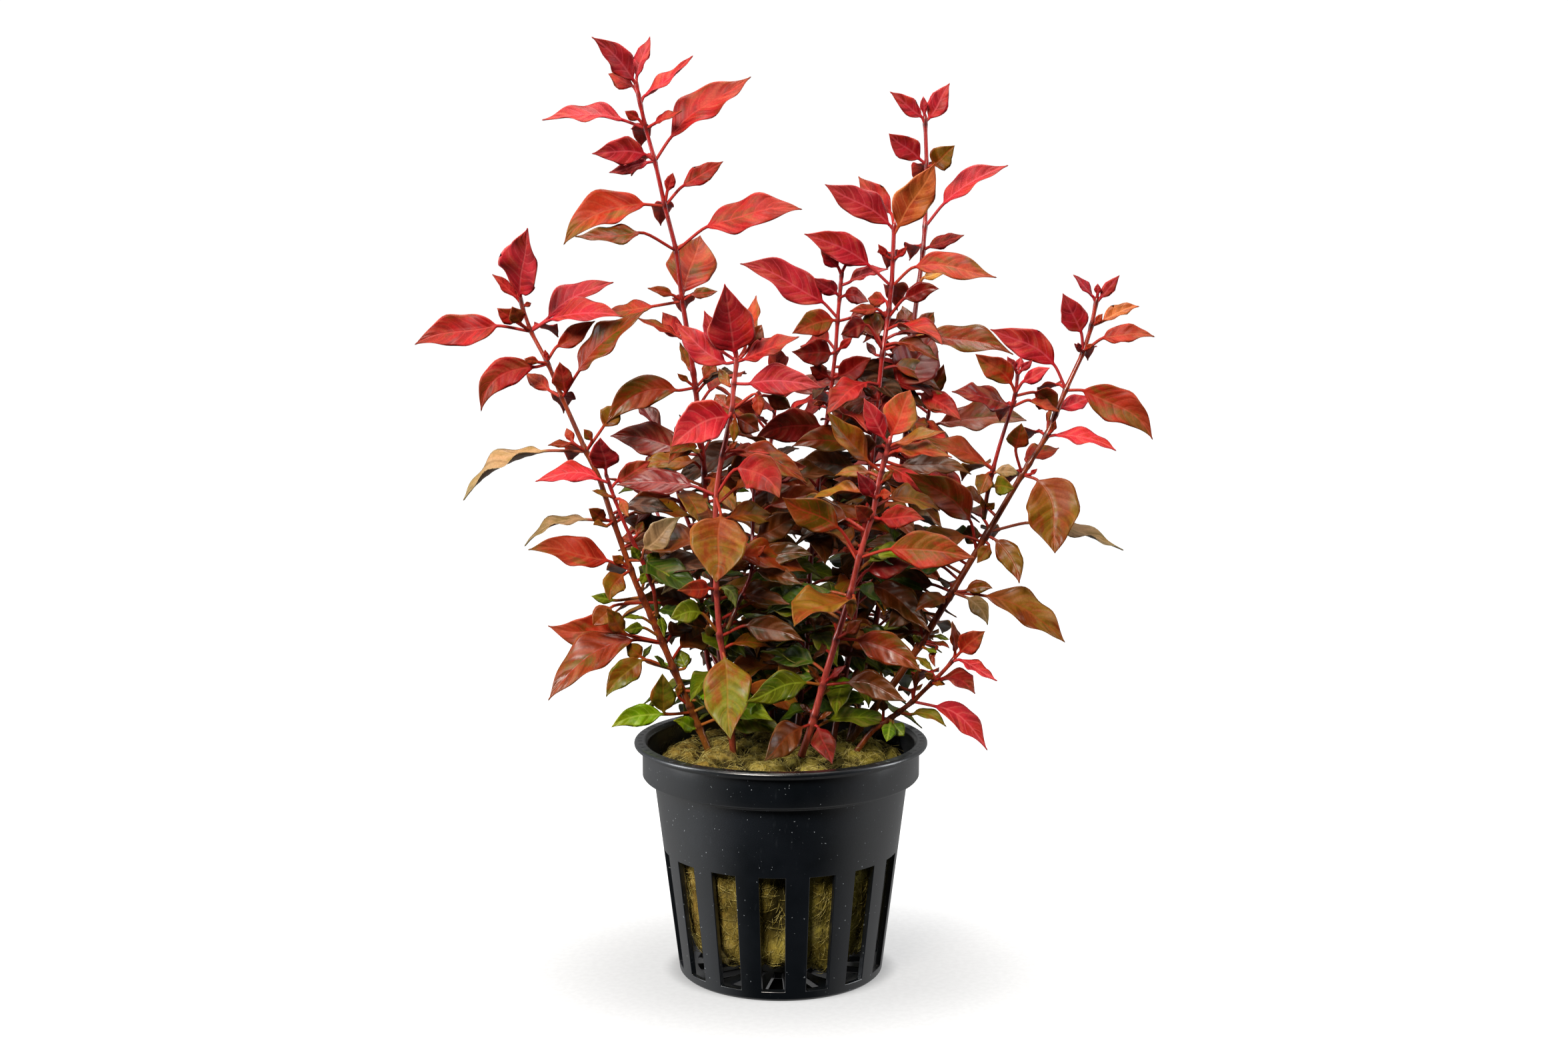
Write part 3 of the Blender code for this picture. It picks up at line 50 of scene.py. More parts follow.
class Link:
    # A socket that works in Python sums. Each operator adds the Math node that it stands for.
    def __init__(self, shop, socket):
        self.shop, self.socket = shop, socket

    def math(self, operation, *values):
        return self.shop.add("ShaderNodeMath", {"operation": operation}, dict(enumerate(values)))

    def __add__(self, other):
        return self.math("ADD", self, other)

    def __sub__(self, other):
        return self.math("SUBTRACT", self, other)

    def __rsub__(self, other):
        return self.math("SUBTRACT", other, self)

    def __mul__(self, other):
        return self.math("MULTIPLY", self, other)

    def __truediv__(self, other):
        return self.math("DIVIDE", self, other)

    def __rtruediv__(self, other):
        return self.math("DIVIDE", other, self)

    def __pow__(self, other):
        return self.math("POWER", self, other)

    def __rpow__(self, other):
        return self.math("POWER", other, self)

    __radd__, __rmul__ = __add__, __mul__

    def size(self):
        return self.math("ABSOLUTE", self)

    def cosine(self):
        return self.math("COSINE", self)

    def within(self, low, high, out=(0.0, 1.0)):  # a smooth step from low to high
        spans = {"Value": self, "From Min": low, "From Max": high, "To Min": out[0], "To Max": out[1]}
        return self.shop.add("ShaderNodeMapRange", {"interpolation_type": "SMOOTHSTEP"}, spans)


class Shop:
    # Adds nodes to one tree and wires them.
    def __init__(self, tree):
        self.tree = tree

    def add(self, kind, settings=None, sockets=None, out=0):
        node = self.tree.nodes.new(kind)
        for key, value in (settings or {}).items():
            if key == "ramp":
                self.fillRamp(node.color_ramp, value)
            else:
                setattr(node, key, value)
        for key, value in (sockets or {}).items():
            into = node.inputs[key] if isinstance(key, int) else self.find(node.inputs, key)
            if isinstance(value, Link):
                self.tree.links.new(value.socket, into)
            else:
                into.default_value = value
        if not node.outputs:
            return node
        return Link(self, node.outputs[out] if isinstance(out, int) else self.find(node.outputs, out))

    def find(self, sockets, name):
        return next(s for s in sockets if s.identifier == name or (s.name == name and s.enabled))

    def fillRamp(self, ramp, stops):
        while len(ramp.elements) > 1:
            ramp.elements.remove(ramp.elements[-1])
        ramp.elements[0].position, ramp.elements[0].color = stops[0]
        for place, colour in stops[1:]:
            ramp.elements.new(place).color = colour

    def mix(self, share, first, second, how="MIX"):
        kind = {"data_type": "RGBA", "blend_type": how}
        sockets = {"Factor_Float": share, "A_Color": first, "B_Color": second}
        return self.add("ShaderNodeMix", kind, sockets, "Result_Color")

    def noiseAt(self, place, scale, detail, rough):
        sockets = {"Vector": place, "Scale": scale, "Detail": detail, "Roughness": rough}
        return self.add("ShaderNodeTexNoise", None, sockets)

    def noise(self, scale, detail=3.0, rough=0.55, stretch=(1, 1, 1)):  # on the object's own coordinates
        place = self.add("ShaderNodeTexCoord", out="Object")
        place = self.add("ShaderNodeMapping", None, {"Vector": place, "Scale": stretch})
        return self.noiseAt(place, scale, detail, rough)

    def attribute(self, name, out="Color"):
        return self.add("ShaderNodeAttribute", {"attribute_name": name}, None, out)

    def parts(self, vector):
        node = self.add("ShaderNodeSeparateXYZ", None, {0: vector}).socket.node
        return [Link(self, socket) for socket in node.outputs]

    def bump(self, height, strength, distance, under=None):
        sockets = {"Height": height, "Strength": strength, "Distance": distance * mm}
        if under is not None:
            sockets["Normal"] = under
        return self.add("ShaderNodeBump", None, sockets)


def paint(code):  # "#rrggbb" as Blender's linear colour
    shares = [int(code[place : place + 2], 16) / 255 for place in (1, 3, 5)]
    return (*[c / 12.92 if c <= 0.04045 else ((c + 0.055) / 1.055) ** 2.4 for c in shares], 1.0)


def finishOf(name, wire, constants):
    # A Principled material: wire(shop) gives the sockets that vary, and constants the ones that don't.
    made = bpy.data.materials.new(name)
    made.use_nodes = True
    shop = Shop(made.node_tree)
    shader = made.node_tree.nodes["Principled BSDF"]
    for key, value in constants.items():
        shader.inputs[key].default_value = value
    for key, link in wire(shop).items():
        made.node_tree.links.new(link.socket, shader.inputs[key])
    return made


def newObject(name, data):
    made = bpy.data.objects.new(name, data)
    bpy.context.scene.collection.objects.link(made)
    return made


class Shape:
    # The points, faces, finish numbers and point values of one piece, gathered before its mesh is made.
    def __init__(self):
        self.points, self.faces, self.finishes, self.values, self.count = [], [], [], {}, 0

    def add(self, points, faces, finish=0, **values):
        self.points.append(np.asarray(points, float))
        self.faces += [tuple(corner + self.count for corner in face) for face in faces]
        self.finishes += [finish] * len(faces)
        for name, rows in values.items():
            self.values.setdefault(name, []).append(np.asarray(rows, float))
        self.count += len(points)

    def build(self, name, finishes):
        mesh = bpy.data.meshes.new(name)
        mesh.from_pydata(np.concatenate(self.points) * mm, [], self.faces)
        for finish in finishes:
            mesh.materials.append(finish)
        mesh.polygons.foreach_set("material_index", self.finishes)
        for label, rows in self.values.items():
            rows = np.concatenate(rows).astype(np.float32)
            kind, field = ("FLOAT_COLOR", "color") if rows.shape[1] == 4 else ("FLOAT_VECTOR", "vector")
            mesh.attributes.new(label, kind, "POINT").data.foreach_set(field, rows.ravel())
        mesh.shade_smooth()
        mesh.update()
        return newObject(name, mesh)


def tubeFaces(rings, around, tip=False):
    # Quads between rings that are numbered one after the other, with both ends closed.
    faces = [tuple(range(around))]
    for ring in range(rings - 1):
        here, above = ring * around, (ring + 1) * around
        for corner in range(around):
            following = (corner + 1) % around
            faces.append((here + corner, above + corner, above + following, here + following))
    last = (rings - 1) * around
    if tip:
        faces += [(last + corner, last + around, last + (corner + 1) % around) for corner in range(around)]
    else:
        faces.append(tuple(last + corner for corner in reversed(range(around))))
    return faces


def unit(rows):
    rows = np.asarray(rows, float)
    return rows / np.maximum(np.linalg.norm(rows, axis=-1, keepdims=True), 1e-9)


SeenLeaf = namedtuple("SeenLeaf", "joint base tip width y bow tone")
GrownLeaf = namedtuple("GrownLeaf", "joint azimuth length rise tone")
Blade = namedtuple("Blade", "start base tip half normal arch")

# Each shoot's line of (x, z, y), its radius at the foot and at the top, and its leaves: the joint's height on
# the stem, where the blade starts and ends, the width seen, how far back the tip lies, the arch and the tone.
shoots = {
    "tall_left": {
        "line": (
            (-9, 42.5, 8), (-11.5, 62, 9), (-13, 80, 8), (-14, 94, 7), (-15.4, 108.3, 7),
            (-16.6, 117, 6), (-17.7, 123.8, 6), (-18.7, 132.8, 5), (-20.7, 140.7, 5),
            (-22.4, 148.6, 4), (-24, 154.3, 4), (-25, 159, 3), (-25.8, 163, 3),
        ),
        "radius": (0.85, 0.42),
        "leaves": (
            (162, (-26.2, 162.8), (-33.5, 170.3), 4.2, -2, 0.7, "rose"),
            (162, (-25.5, 163.4), (-23.1, 170.4), 2.6, 2, 0, "rose"),
            (160, (-26.3, 161.8), (-30.6, 163.9), 3, 4, 0, "red"),
            (158.6, (-24.2, 160), (-15.5, 167.1), 1.6, 2, -0.5, "rose"),
            (154.3, (-28, 155.8), (-42.5, 155.8), 3.1, -3, 0.9, "rose"),
            (154.3, (-22.4, 155.2), (-17.5, 157.5), 1.5, -3, 0, "red"),
            (154.3, (-25.3, 156), (-27.7, 157.4), 1.9, -2, 0, "red"),
            (148.6, (-24.2, 149.8), (-33.7, 149.9), 4.8, -5, 0.5, "rose"),
            (148.6, (-23.6, 148.4), (-30.7, 146.6), 2.6, -9, 0, "rose"),
            (148.6, (-19.5, 152.8), (-5.2, 163.4), 5.5, 3, 0.7, "red"),
            (140.7, (-24.2, 141), (-38.9, 133.8), 6, -4, 2.2, "orange"),
            (140.7, (-17.5, 144.2), (-10.2, 148.6), 3.3, 3, 0, "red"),
            (140.7, (-20.2, 143.5), (-19.2, 146.6), 2, -1, 0, "red"),
            (132.8, (-25.3, 136), (-37, 135.4), 3.4, -7, -0.5, "brown"),
            (132.8, (-13.3, 137), (3.9, 140.1), 5.5, -2, 1, "red"),
            (124.3, (-17.4, 125.6), (-14.4, 135.6), 8.8, 8, 0, "orange"),
            (123.8, (-19.4, 124.9), (-24, 126.2), 1.8, -3, 0, "brown"),
            (123.8, (-16, 124.9), (-11.3, 125.6), 2, -3, 0, "brown"),
            (123.8, (-23, 122.9), (-32, 121.4), 2.8, 4, 0, "orange"),
            (116.6, (-19, 117.8), (-26, 121), 1.6, 2, 0, "orange"),
            (116.6, (-18.4, 117.5), (-21.3, 121.9), 3.6, 5, 0, "red"),
            (111, (-16.6, 111.8), (-18.2, 116.5), 1.7, 3, 0, "olive"),
            (108.3, (-18.8, 107.8), (-31.6, 101.8), 5.6, -5, 2.4, "brown"),
            (108.3, (-16.8, 109.4), (-18.7, 110.9), 1.2, -2, 0, "brown"),
            (108.3, (-13.8, 110), (-11.8, 112.8), 3, 3, 0, "brown"),
            (96, (-17, 96.4), (-31, 99.5), 6.2, 4, 1, "maroon"),
            (93, (-15.8, 94.8), (-26, 93.4), 3.2, -2, 0.8, "olive"),
            (91, (-13.4, 91.2), (-11.4, 93), 2, -2, 0, "brown"),
        ),
    },
    "left": {
        "line": (
            (-13.3, 41.2, 0), (-16.5, 49, 0), (-19.3, 55.6, -1), (-21.6, 61.3, -1), (-23.4, 65.8, -1),
            (-26.1, 71.6, -2), (-27.4, 75, -2), (-30.5, 84, -2), (-33, 92, -1), (-35.3, 96.7, -1),
            (-39.4, 106.2, 0), (-42, 112.7, 0), (-45, 118.4, 1), (-46.7, 123.5, 1), (-46.9, 126, 1),
        ),
        "radius": (0.9, 0.4),
        "leaves": (
            (124.5, (-46.8, 125), (-45.3, 136.9), 6.7, -3, 0, "pink"),
            (123.5, (-47.4, 124.4), (-51.8, 128.7), 1.8, -1, 0, "red"),
            (122.8, (-46.1, 123), (-44.8, 123.5), 1, 0, 0, "red"),
            (124, (-47.2, 124.8), (-48.6, 128), 1.4, -2, 0, "red"),
            (118.5, (-47.7, 120.2), (-51, 122.6), 3, -3, 0, "red"),
            (118.5, (-46.9, 120), (-48.3, 122.9), 3, -6, 0, "orange"),
            (118.4, (-51, 119.4), (-66, 116), 5.7, -2, 0.6, "red"),
            (118.4, (-41.8, 120.8), (-29.9, 127.2), 4, 3, 1, "rose"),
            (118.4, (-41.4, 120.5), (-28.6, 121.1), 3.5, -4, 0.8, "rose"),
            (113, (-40.3, 115.7), (-33.3, 120.3), 3.4, 2, 0, "orange"),
            (112.7, (-43.8, 112.9), (-46.3, 113.5), 1.6, -3, 0, "orange"),
            (112.9, (-42.2, 113.6), (-42.5, 115.2), 1, -1, 0, "red"),
            (112.6, (-44.4, 112), (-54.2, 103.9), 5.2, -5, 2.8, "red"),
            (106.4, (-41.8, 107.8), (-46, 111), 2.8, 4, 0, "orange"),
            (106.4, (-38.9, 107.6), (-39.9, 113), 3.8, -4, 0, "red"),
            (106.4, (-36.4, 111.3), (-24.3, 122.2), 4.6, -5, 0.8, "brown"),
            (96.7, (-43, 96.8), (-57.8, 87.7), 1.9, -3, 1.8, "grey"),
            (96.7, (-38.2, 98.2), (-42.3, 97.8), 1.5, -3, 0, "brown"),
            (96.7, (-37.8, 98.6), (-38.8, 101), 1.7, -2, 0, "orange"),
            (96.7, (-32, 101.4), (-29.6, 105), 4, 4, 0, "olive"),
            (96.7, (-34.3, 98.9), (-35.7, 100.8), 1.7, -2, 0, "brown"),
            (84, (-35.5, 84.3), (-46.8, 79.3), 2, -2, 1.6, "grey"),
            (84, (-32, 84.3), (-35, 86.3), 2.7, -4, 0, "brown"),
            (84, (-31.6, 83.2), (-34.2, 83.4), 1.1, -5, 0, "olive"),
            (75, (-31.6, 76.7), (-46.2, 78.7), 5.3, -4, 0.6, "orange"),
            (75, (-28.8, 76.3), (-30.8, 77.7), 1.9, -2, 0, "olive"),
            (75, (-28.9, 74), (-31.3, 69.2), 4.2, -6, 0.8, "olive"),
            (70, (-30.8, 69.4), (-34.8, 70.2), 2, -2, 0, "green"),
            (69, (-31.2, 68), (-34.4, 64.6), 4, -5, 0, "olive"),
            (61.5, (-28.5, 63), (-42.8, 64.7), 6, -3, -0.3, "orange"),
            (61.5, (-28.7, 63.4), (-32, 68), 3, -7, 0, "olive"),
            (61.3, (-27, 62), (-42.9, 50.6), 6.3, -8, 2.2, "brown"),
            (62.5, (-25.4, 64.3), (-28.9, 63.9), 2.2, -5, 0, "green"),
            (64.5, (-25.6, 66.2), (-28.8, 66.2), 1, -4, 0, "green"),
            (66.5, (-22.3, 66.6), (-21.3, 62.4), 1.6, -4, 0, "green"),
            (56.3, (-25.6, 58.2), (-32.2, 51.3), 4.6, -7, 0.6, "moss"),
            (56.3, (-25.7, 58.9), (-28.4, 61.4), 3, -3, 0, "olive"),
            (56.3, (-25.2, 58.8), (-23.6, 61.3), 1.1, 0, 0, "green"),
            (56.3, (-21.2, 57), (-23.3, 59.1), 1.1, -3, 0, "green"),
            (56.3, (-17.6, 56.9), (-18.9, 60.3), 3, 2, 0, "green"),
            (48.4, (-21.6, 48.6), (-21.8, 55.8), 4.4, -6, 0, "moss"),
            (48.4, (-22, 48.1), (-31.3, 45.6), 4, -4, 0.9, "lime"),
            (49.5, (-18.9, 51.8), (-18.4, 54), 1.5, -2, 0, "olive"),
            (45.6, (-16, 45.4), (-19.9, 46.9), 2.8, -5, 0.3, "lime"),
        ),
    },
    "left_inner": {
        "line": (
            (-22.6, 66.2, -3), (-23.2, 71.5, -5), (-25.4, 77, -6), (-28.5, 83.5, -6), (-30.2, 88, -6),
            (-31.9, 93, -6),
        ),
        "radius": (0.5, 0.36),
        "leaves": (
            (92.4, (-31.8, 93.6), (-32.7, 99.3), 5, -4, 0, "pink"),
            (91, (-33, 91.6), (-44.7, 91.2), 3.2, -4, 1.3, "pink"),
            (90, (-29.8, 91.2), (-23.6, 95), 3.6, 3, 0, "red"),
            (88.2, (-31.2, 88.6), (-34.4, 89.6), 1.3, -3, 0, "olive"),
            (88, (-29.2, 88), (-27.6, 84.6), 1.7, -3, 0, "orange"),
            (77, (-24.8, 79), (-18.2, 84.8), 4.8, -5, 0, "grey"),
            (80, (-27.2, 80.3), (-28.8, 81.2), 1.6, 2, 0, "brown"),
            (80.6, (-26.2, 81.5), (-25.1, 84), 1.7, 3, 0, "brown"),
            (76.8, (-26, 77.2), (-27.3, 79.4), 1.8, -2, 0, "green"),
            (75, (-24.1, 75.7), (-22.4, 78.6), 2.3, 2, 0, "green"),
            (73, (-24.5, 74.6), (-25.6, 72.3), 1.6, 2, 0, "green"),
            (72.5, (-22.8, 73.3), (-20.2, 74), 2.3, -4, 0, "green"),
        ),
    },
    "front_left": {
        "line": (
            (-8.8, 40.8, -3), (-10, 56, -8), (-11.2, 62.5, -10), (-11.8, 71.3, -12), (-12, 80, -14),
            (-11.8, 88.7, -16), (-11.2, 93, -17), (-10.6, 96, -18), (-8.8, 104.2, -20),
            (-8.5, 109, -20), (-7.9, 113, -21), (-8.2, 115.5, -21),
        ),
        "radius": (0.8, 0.5),
        "leaves": (
            (113.5, (-8.4, 114.8), (-10.1, 127), 7.7, -2, 0, "pink"),
            (113, (-10, 112.7), (-19, 120), 4.8, 3, -0.5, "rose"),
            (113, (-6.8, 113.3), (3.4, 117.5), 3.4, -3, 0, "red"),
            (113, (-6.4, 115.6), (-4.4, 124.9), 3.6, 6, 0, "orange"),
            (113, (-11, 115.4), (-13.8, 122.2), 3.2, 8, 0, "rose"),
            (113, (-5.6, 115.6), (-3.4, 119.6), 3.2, 4, 0, "brown"),
            (109, (-5.6, 109), (7.6, 108.2), 5, -5, 0.8, "rose"),
            (109, (-9.3, 108.6), (-11.3, 111.8), 1.9, 3, 0, "olive"),
            (104.3, (-9.5, 103), (-19.9, 97.5), 7, -4, 1.2, "pink"),
            (104.3, (-10, 104.9), (-11.8, 107.1), 2.3, 3, 0, "brown"),
            (104.3, (-4.3, 107), (-3.8, 103), 2.2, -1, 0, "orange"),
            (104.3, (-2.4, 106.8), (1.8, 104.6), 2.8, 3, 0, "brown"),
            (104, (-7.8, 103), (-3.8, 100.4), 3.6, 5, 0, "brown"),
            (104, (-8.3, 102.6), (-8.6, 98.2), 1.7, -3, 0, "olive"),
            (96, (-9.4, 97.2), (-7.8, 98.6), 1.2, -2, 0, "brown"),
            (88.7, (-7.8, 93.6), (-0.2, 88.1), 6.4, -7, 1.6, "red"),
            (88.7, (-16, 90.4), (-30, 90.6), 4.2, 2, 0.5, "maroon"),
            (88.5, (-10.9, 84.8), (-11.9, 72.6), 9.8, -10, 0, "olive"),
            (71.3, (-13.2, 71.6), (-19, 71.2), 3.5, -5, 0, "orange"),
            (70.8, (-10.8, 71.7), (-8.3, 67.8), 2.3, -3, 1, "green"),
            (63, (-14.8, 67.1), (-20.3, 66), 4.2, -2, 0.5, "green"),
            (62.6, (-6.3, 64.7), (4.5, 61.6), 4.6, -4, 0.6, "dark"),
            (60, (-10.3, 58.6), (-9.3, 43.3), 8.4, -12, 0, "moss"),
            (52, (-4.4, 50), (-4.6, 46.6), 2.4, -3, 0, "lime"),
        ),
    },
    "front_branch": {
        "line": (
            (-9.8, 64, -11), (-7.3, 70, -10), (-5.2, 74.5, -9), (-5.2, 80.3, -8), (-5, 87, -6),
            (-4.8, 93, -5),
        ),
        "radius": (0.5, 0.36),
        "leaves": (
            (80.3, (-4.2, 81.2), (4.2, 85.6), 4.8, -3, 0, "dark"),
            (84, (-4.2, 84.8), (0.5, 87.8), 2.5, 3, 0, "olive"),
            (76.4, (-4.2, 76.8), (6, 77.6), 4, -2, 0.8, "dark"),
            (76.4, (-5.9, 76.2), (-7.2, 75.2), 1, -1, 0, "dark"),
            (77, (-4.8, 77.5), (-2.8, 79.6), 1.6, -4, 0, "orange"),
            (74.5, (-4.4, 75), (4.2, 72.3), 3.1, -4, 0, "dark"),
            (70.2, (-6.3, 70.4), (1.8, 68.6), 2.8, -4, 0, "dark"),
            (66.5, (-7.8, 66.9), (-4.8, 70), 3, 3, 0, "green"),
            (90, (-4.2, 91.3), (4.8, 94), 4.6, 2, 0.6, "maroon"),
            (92.5, (-5.2, 94), (-7.4, 98.4), 3.2, 3, 0, "maroon"),
        ),
    },
    "front_right": {
        "line": (
            (3.4, 39.2, -8), (5.8, 46.3, -10), (7.7, 53.6, -12), (10.2, 62.2, -14), (12.7, 70.5, -16),
            (14.2, 77.2, -18), (16.8, 85.5, -19), (18.2, 93, -20), (19.6, 97.8, -21),
            (19.8, 99.5, -21),
        ),
        "radius": (0.9, 0.5),
        "leaves": (
            (98, (18.7, 99.2), (15, 106.4), 3.6, -2, 0, "pink"),
            (98, (20.1, 99.8), (23.4, 107.9), 5.9, 3, 0, "orange"),
            (97.5, (21, 98.2), (29.9, 100.3), 2.2, -3, 0, "olive"),
            (96, (20.8, 96.8), (31.2, 95.6), 2.4, -4, 0.5, "orange"),
            (95, (22, 94.1), (34.7, 92.5), 3.6, 1, 0.9, "dark"),
            (93, (15.7, 95), (8.5, 104), 4, -4, -0.3, "olive"),
            (92, (17.4, 91.6), (16.4, 93.6), 1.7, 1, 0, "olive"),
            (90.5, (18.6, 91.4), (20.6, 93.4), 1.4, -2, 0, "brown"),
            (88, (16.6, 88.8), (13.8, 93.1), 2.8, -4, 0, "pink"),
            (88, (18.2, 88.8), (20.2, 89), 2, -4, 0, "orange"),
            (84.8, (18.2, 84.4), (26.3, 84.2), 4, -5, 0.5, "red"),
            (84.8, (16, 84.4), (13.4, 86.8), 3.2, -4, 0, "orange"),
            (77.2, (10.4, 82.8), (0.2, 88.4), 5.8, -4, 0, "brown"),
            (77.2, (19.8, 78.8), (35.5, 77.2), 6.3, -6, 0.6, "orange"),
            (71, (16, 75), (23.8, 76), 4, 2, 0, "maroon"),
            (69.8, (11.9, 69.7), (2.4, 64.5), 5.8, -7, 0.8, "olive"),
            (70.5, (13.4, 70.2), (12.9, 65.6), 1.8, -5, 0, "olive"),
            (62.2, (14, 62), (25.9, 56), 5.4, -5, 1, "brown"),
            (62.2, (12.2, 63.4), (15, 65.8), 2.3, -7, 0, "brown"),
            (53.6, (4.5, 54), (-6.6, 50.3), 5.2, -6, 0.6, "green"),
            (53.6, (12.3, 54), (23.2, 50.4), 4.4, -5, 0.9, "dark"),
            (53.6, (6.8, 55.1), (4.8, 57.4), 1.5, -2, 0, "dark"),
            (53.6, (9, 54.9), (12, 57.3), 1.3, -4, 0, "maroon"),
            (46.3, (4, 45.6), (-3.1, 39.2), 5.2, -8, 0.5, "dark"),
            (46.3, (6.9, 45.6), (9.5, 38.6), 4, -8, 0, "maroon"),
            (46.3, (6.8, 47.2), (9.6, 48.6), 1, -1, 0, "dark"),
            (48, (5.4, 48.8), (3.4, 50), 1.2, 2, 0, "dark"),
        ),
    },
    "tall_right": {
        "line": (
            (12.6, 43.4, 9), (15.6, 55, 12), (18.6, 72, 13), (21.3, 88, 14), (22.6, 100, 15),
            (23.6, 117, 15), (24.4, 124, 16), (25.3, 131, 17), (25.8, 137, 18), (26, 148, 19),
            (25.6, 157, 19),
        ),
        "radius": (0.8, 0.45),
        "leaves": (
            (155, (25, 156.4), (19.3, 160.8), 3, -1, 0, "rose"),
            (155.5, (26.4, 156.2), (30, 162.3), 3.8, 2, 0, "rose"),
            (156, (25.5, 157), (25.3, 160), 1.5, -1, 0, "rose"),
            (148, (24.7, 149), (19.2, 153.5), 4.4, -3, 0, "rose"),
            (147.6, (27.2, 148), (31, 151.4), 4.4, -5, 0, "olive"),
            (137, (29, 141), (40.6, 147.9), 3.5, 2, 0.8, "rose"),
            (132.8, (26.4, 133.4), (32.9, 135.6), 2.5, -2, 0, "red"),
            (126.6, (25.6, 128), (30.6, 129.5), 2, -2, 0, "cream"),
            (117.6, (24.8, 118.2), (27.6, 121.9), 3.4, 3, 0, "brown"),
            (117.4, (22.9, 118), (21.8, 123), 3.8, 4, 0, "brown"),
            (117, (24.7, 117.6), (27, 118.7), 1.1, -2, 0, "cream"),
            (87.6, (22.6, 88), (27.1, 90.3), 2.1, -2, 0, "brown"),
            (64, (20.8, 66.4), (24.4, 60.4), 3.3, -5, 0.5, "brown"),
        ),
    },
    "right_middle": {
        "line": (
            (9.4, 41.8, 3), (12.6, 60, 4), (14.6, 76, 4), (16.4, 94, 4), (17.5, 106, 5),
            (18.4, 115, 5), (19.3, 120.8, 6), (19.9, 126.4, 6), (20.1, 131.4, 6), (20.3, 138, 6),
        ),
        "radius": (0.8, 0.48),
        "leaves": (
            (136.4, (19.4, 137.4), (7.8, 144.6), 5.4, -2, 0.4, "rose"),
            (137, (19.7, 139.4), (13.8, 146), 4, 5, 0, "red"),
            (135.6, (21, 137), (27.5, 148.4), 6.4, -4, 0, "gold"),
            (131.2, (19, 131.8), (17.4, 134), 1.4, -2, 0, "red"),
            (131.2, (21, 131.8), (22.6, 133.6), 1.4, -2, 0, "red"),
            (126.4, (15.8, 130.2), (4.1, 135.8), 5.3, -3, 0.7, "rose"),
            (126.4, (24, 129.9), (38.8, 128), 4.7, -3, 0.8, "orange"),
            (120.8, (22.2, 124.3), (28.5, 126), 3.4, -4, 0.5, "maroon"),
            (120.8, (17.2, 122.4), (12.3, 122), 2, -4, 0, "red"),
            (122, (18.8, 123.9), (15.6, 124.3), 2.8, 4, 0, "red"),
            (115, (15.2, 119.6), (10.8, 117.8), 3.8, -4, 0.3, "maroon"),
            (115, (17.5, 117.5), (15.4, 122.2), 4.2, 4, 0, "brown"),
            (115, (26.4, 117.6), (42, 114.2), 4.9, -4, 0.8, "brown"),
            (114, (17, 114.3), (15.4, 116.5), 1.4, 2, 0, "maroon"),
            (106, (21.3, 109.2), (27.4, 117.4), 9.2, 7, 0, "maroon"),
            (106, (13, 108.8), (9, 106.8), 2.6, -3, 0, "maroon"),
            (106, (16.6, 107), (14.6, 108.4), 1.5, -3, 0, "dark"),
            (100, (15, 101), (8.8, 105.8), 5, 4, 0, "brown"),
            (92, (13.4, 94), (3, 94.6), 5.2, 4, 0.4, "dark"),
            (82, (12.6, 83.6), (4.8, 81.6), 4.2, 5, 0, "dark"),
        ),
    },
    "middle": {
        "line": (
            (2.6, 42, 5), (4.9, 62, 6), (5.2, 74, 7), (6.8, 91, 8), (8.3, 102, 8), (9.3, 110, 8),
            (9.9, 115, 8), (10.2, 120.4, 8), (10.6, 124.8, 8), (11, 129.6, 8),
        ),
        "radius": (0.75, 0.4),
        "leaves": (
            (128.4, (10.2, 130), (6.8, 134.2), 3, -3, 0, "rose"),
            (128.8, (11.6, 130.2), (14.2, 133.2), 2.6, -4, 0, "rose"),
            (126.6, (12.3, 127.2), (19.4, 129.6), 2, -3, 0.4, "rose"),
            (124.6, (10, 125.2), (6, 128), 3, -4, 0, "rose"),
            (124.4, (11.4, 124.8), (15.8, 123.7), 3, -5, 0.5, "maroon"),
            (120.8, (7.6, 123.6), (-7.4, 130.5), 6.2, -3, 0.8, "rose"),
            (120.3, (9.4, 120.4), (2, 118), 4.8, -4, 0.5, "orange"),
            (120.2, (12.4, 120.8), (18, 123), 1.7, 3, 0, "maroon"),
            (114.8, (9, 114.4), (1.9, 114.8), 4.8, -5, 0, "maroon"),
            (114.8, (10.7, 115.4), (13, 117.4), 1.6, -3, 0, "red"),
            (110, (10.4, 110.4), (16.4, 113.7), 4.4, -4, 0, "maroon"),
            (109.6, (8.4, 110.4), (5.2, 112), 3, -3, 0, "maroon"),
            (105, (7.6, 105.6), (5.8, 105.2), 1.2, -3, 0, "brown"),
            (101.4, (7.2, 101.2), (-4.8, 99), 6.2, -7, 1.2, "maroon"),
            (88, (5.4, 89), (-2.6, 91), 4.4, 4, 0.6, "brown"),
            (66, (4.3, 66.2), (-3.4, 66.8), 4, 4, 0.6, "dark"),
        ),
    },
    "right": {
        "line": (
            (12.4, 42.8, 4), (15.8, 47.2, 3), (21, 54.2, 2), (26, 61.8, 1), (31.3, 70.9, 0),
            (37.8, 82, 0), (43.8, 92.5, 0), (48.1, 99.4, 0), (51.4, 107.8, 1), (54.5, 114.6, 2),
            (55.9, 119.3, 2), (56.9, 125, 2),
        ),
        "radius": (1.0, 0.45),
        "leaves": (
            (123.4, (56.1, 124.6), (52.4, 128.6), 1.4, -1, 0, "rose"),
            (123.4, (57.4, 124.4), (60.8, 128.5), 2.2, -1, 0, "rose"),
            (124, (56.9, 125.2), (56.9, 127), 1.3, -1, 0, "rose"),
            (119.4, (56.7, 120), (57.9, 121.6), 1.3, -1, 0, "orange"),
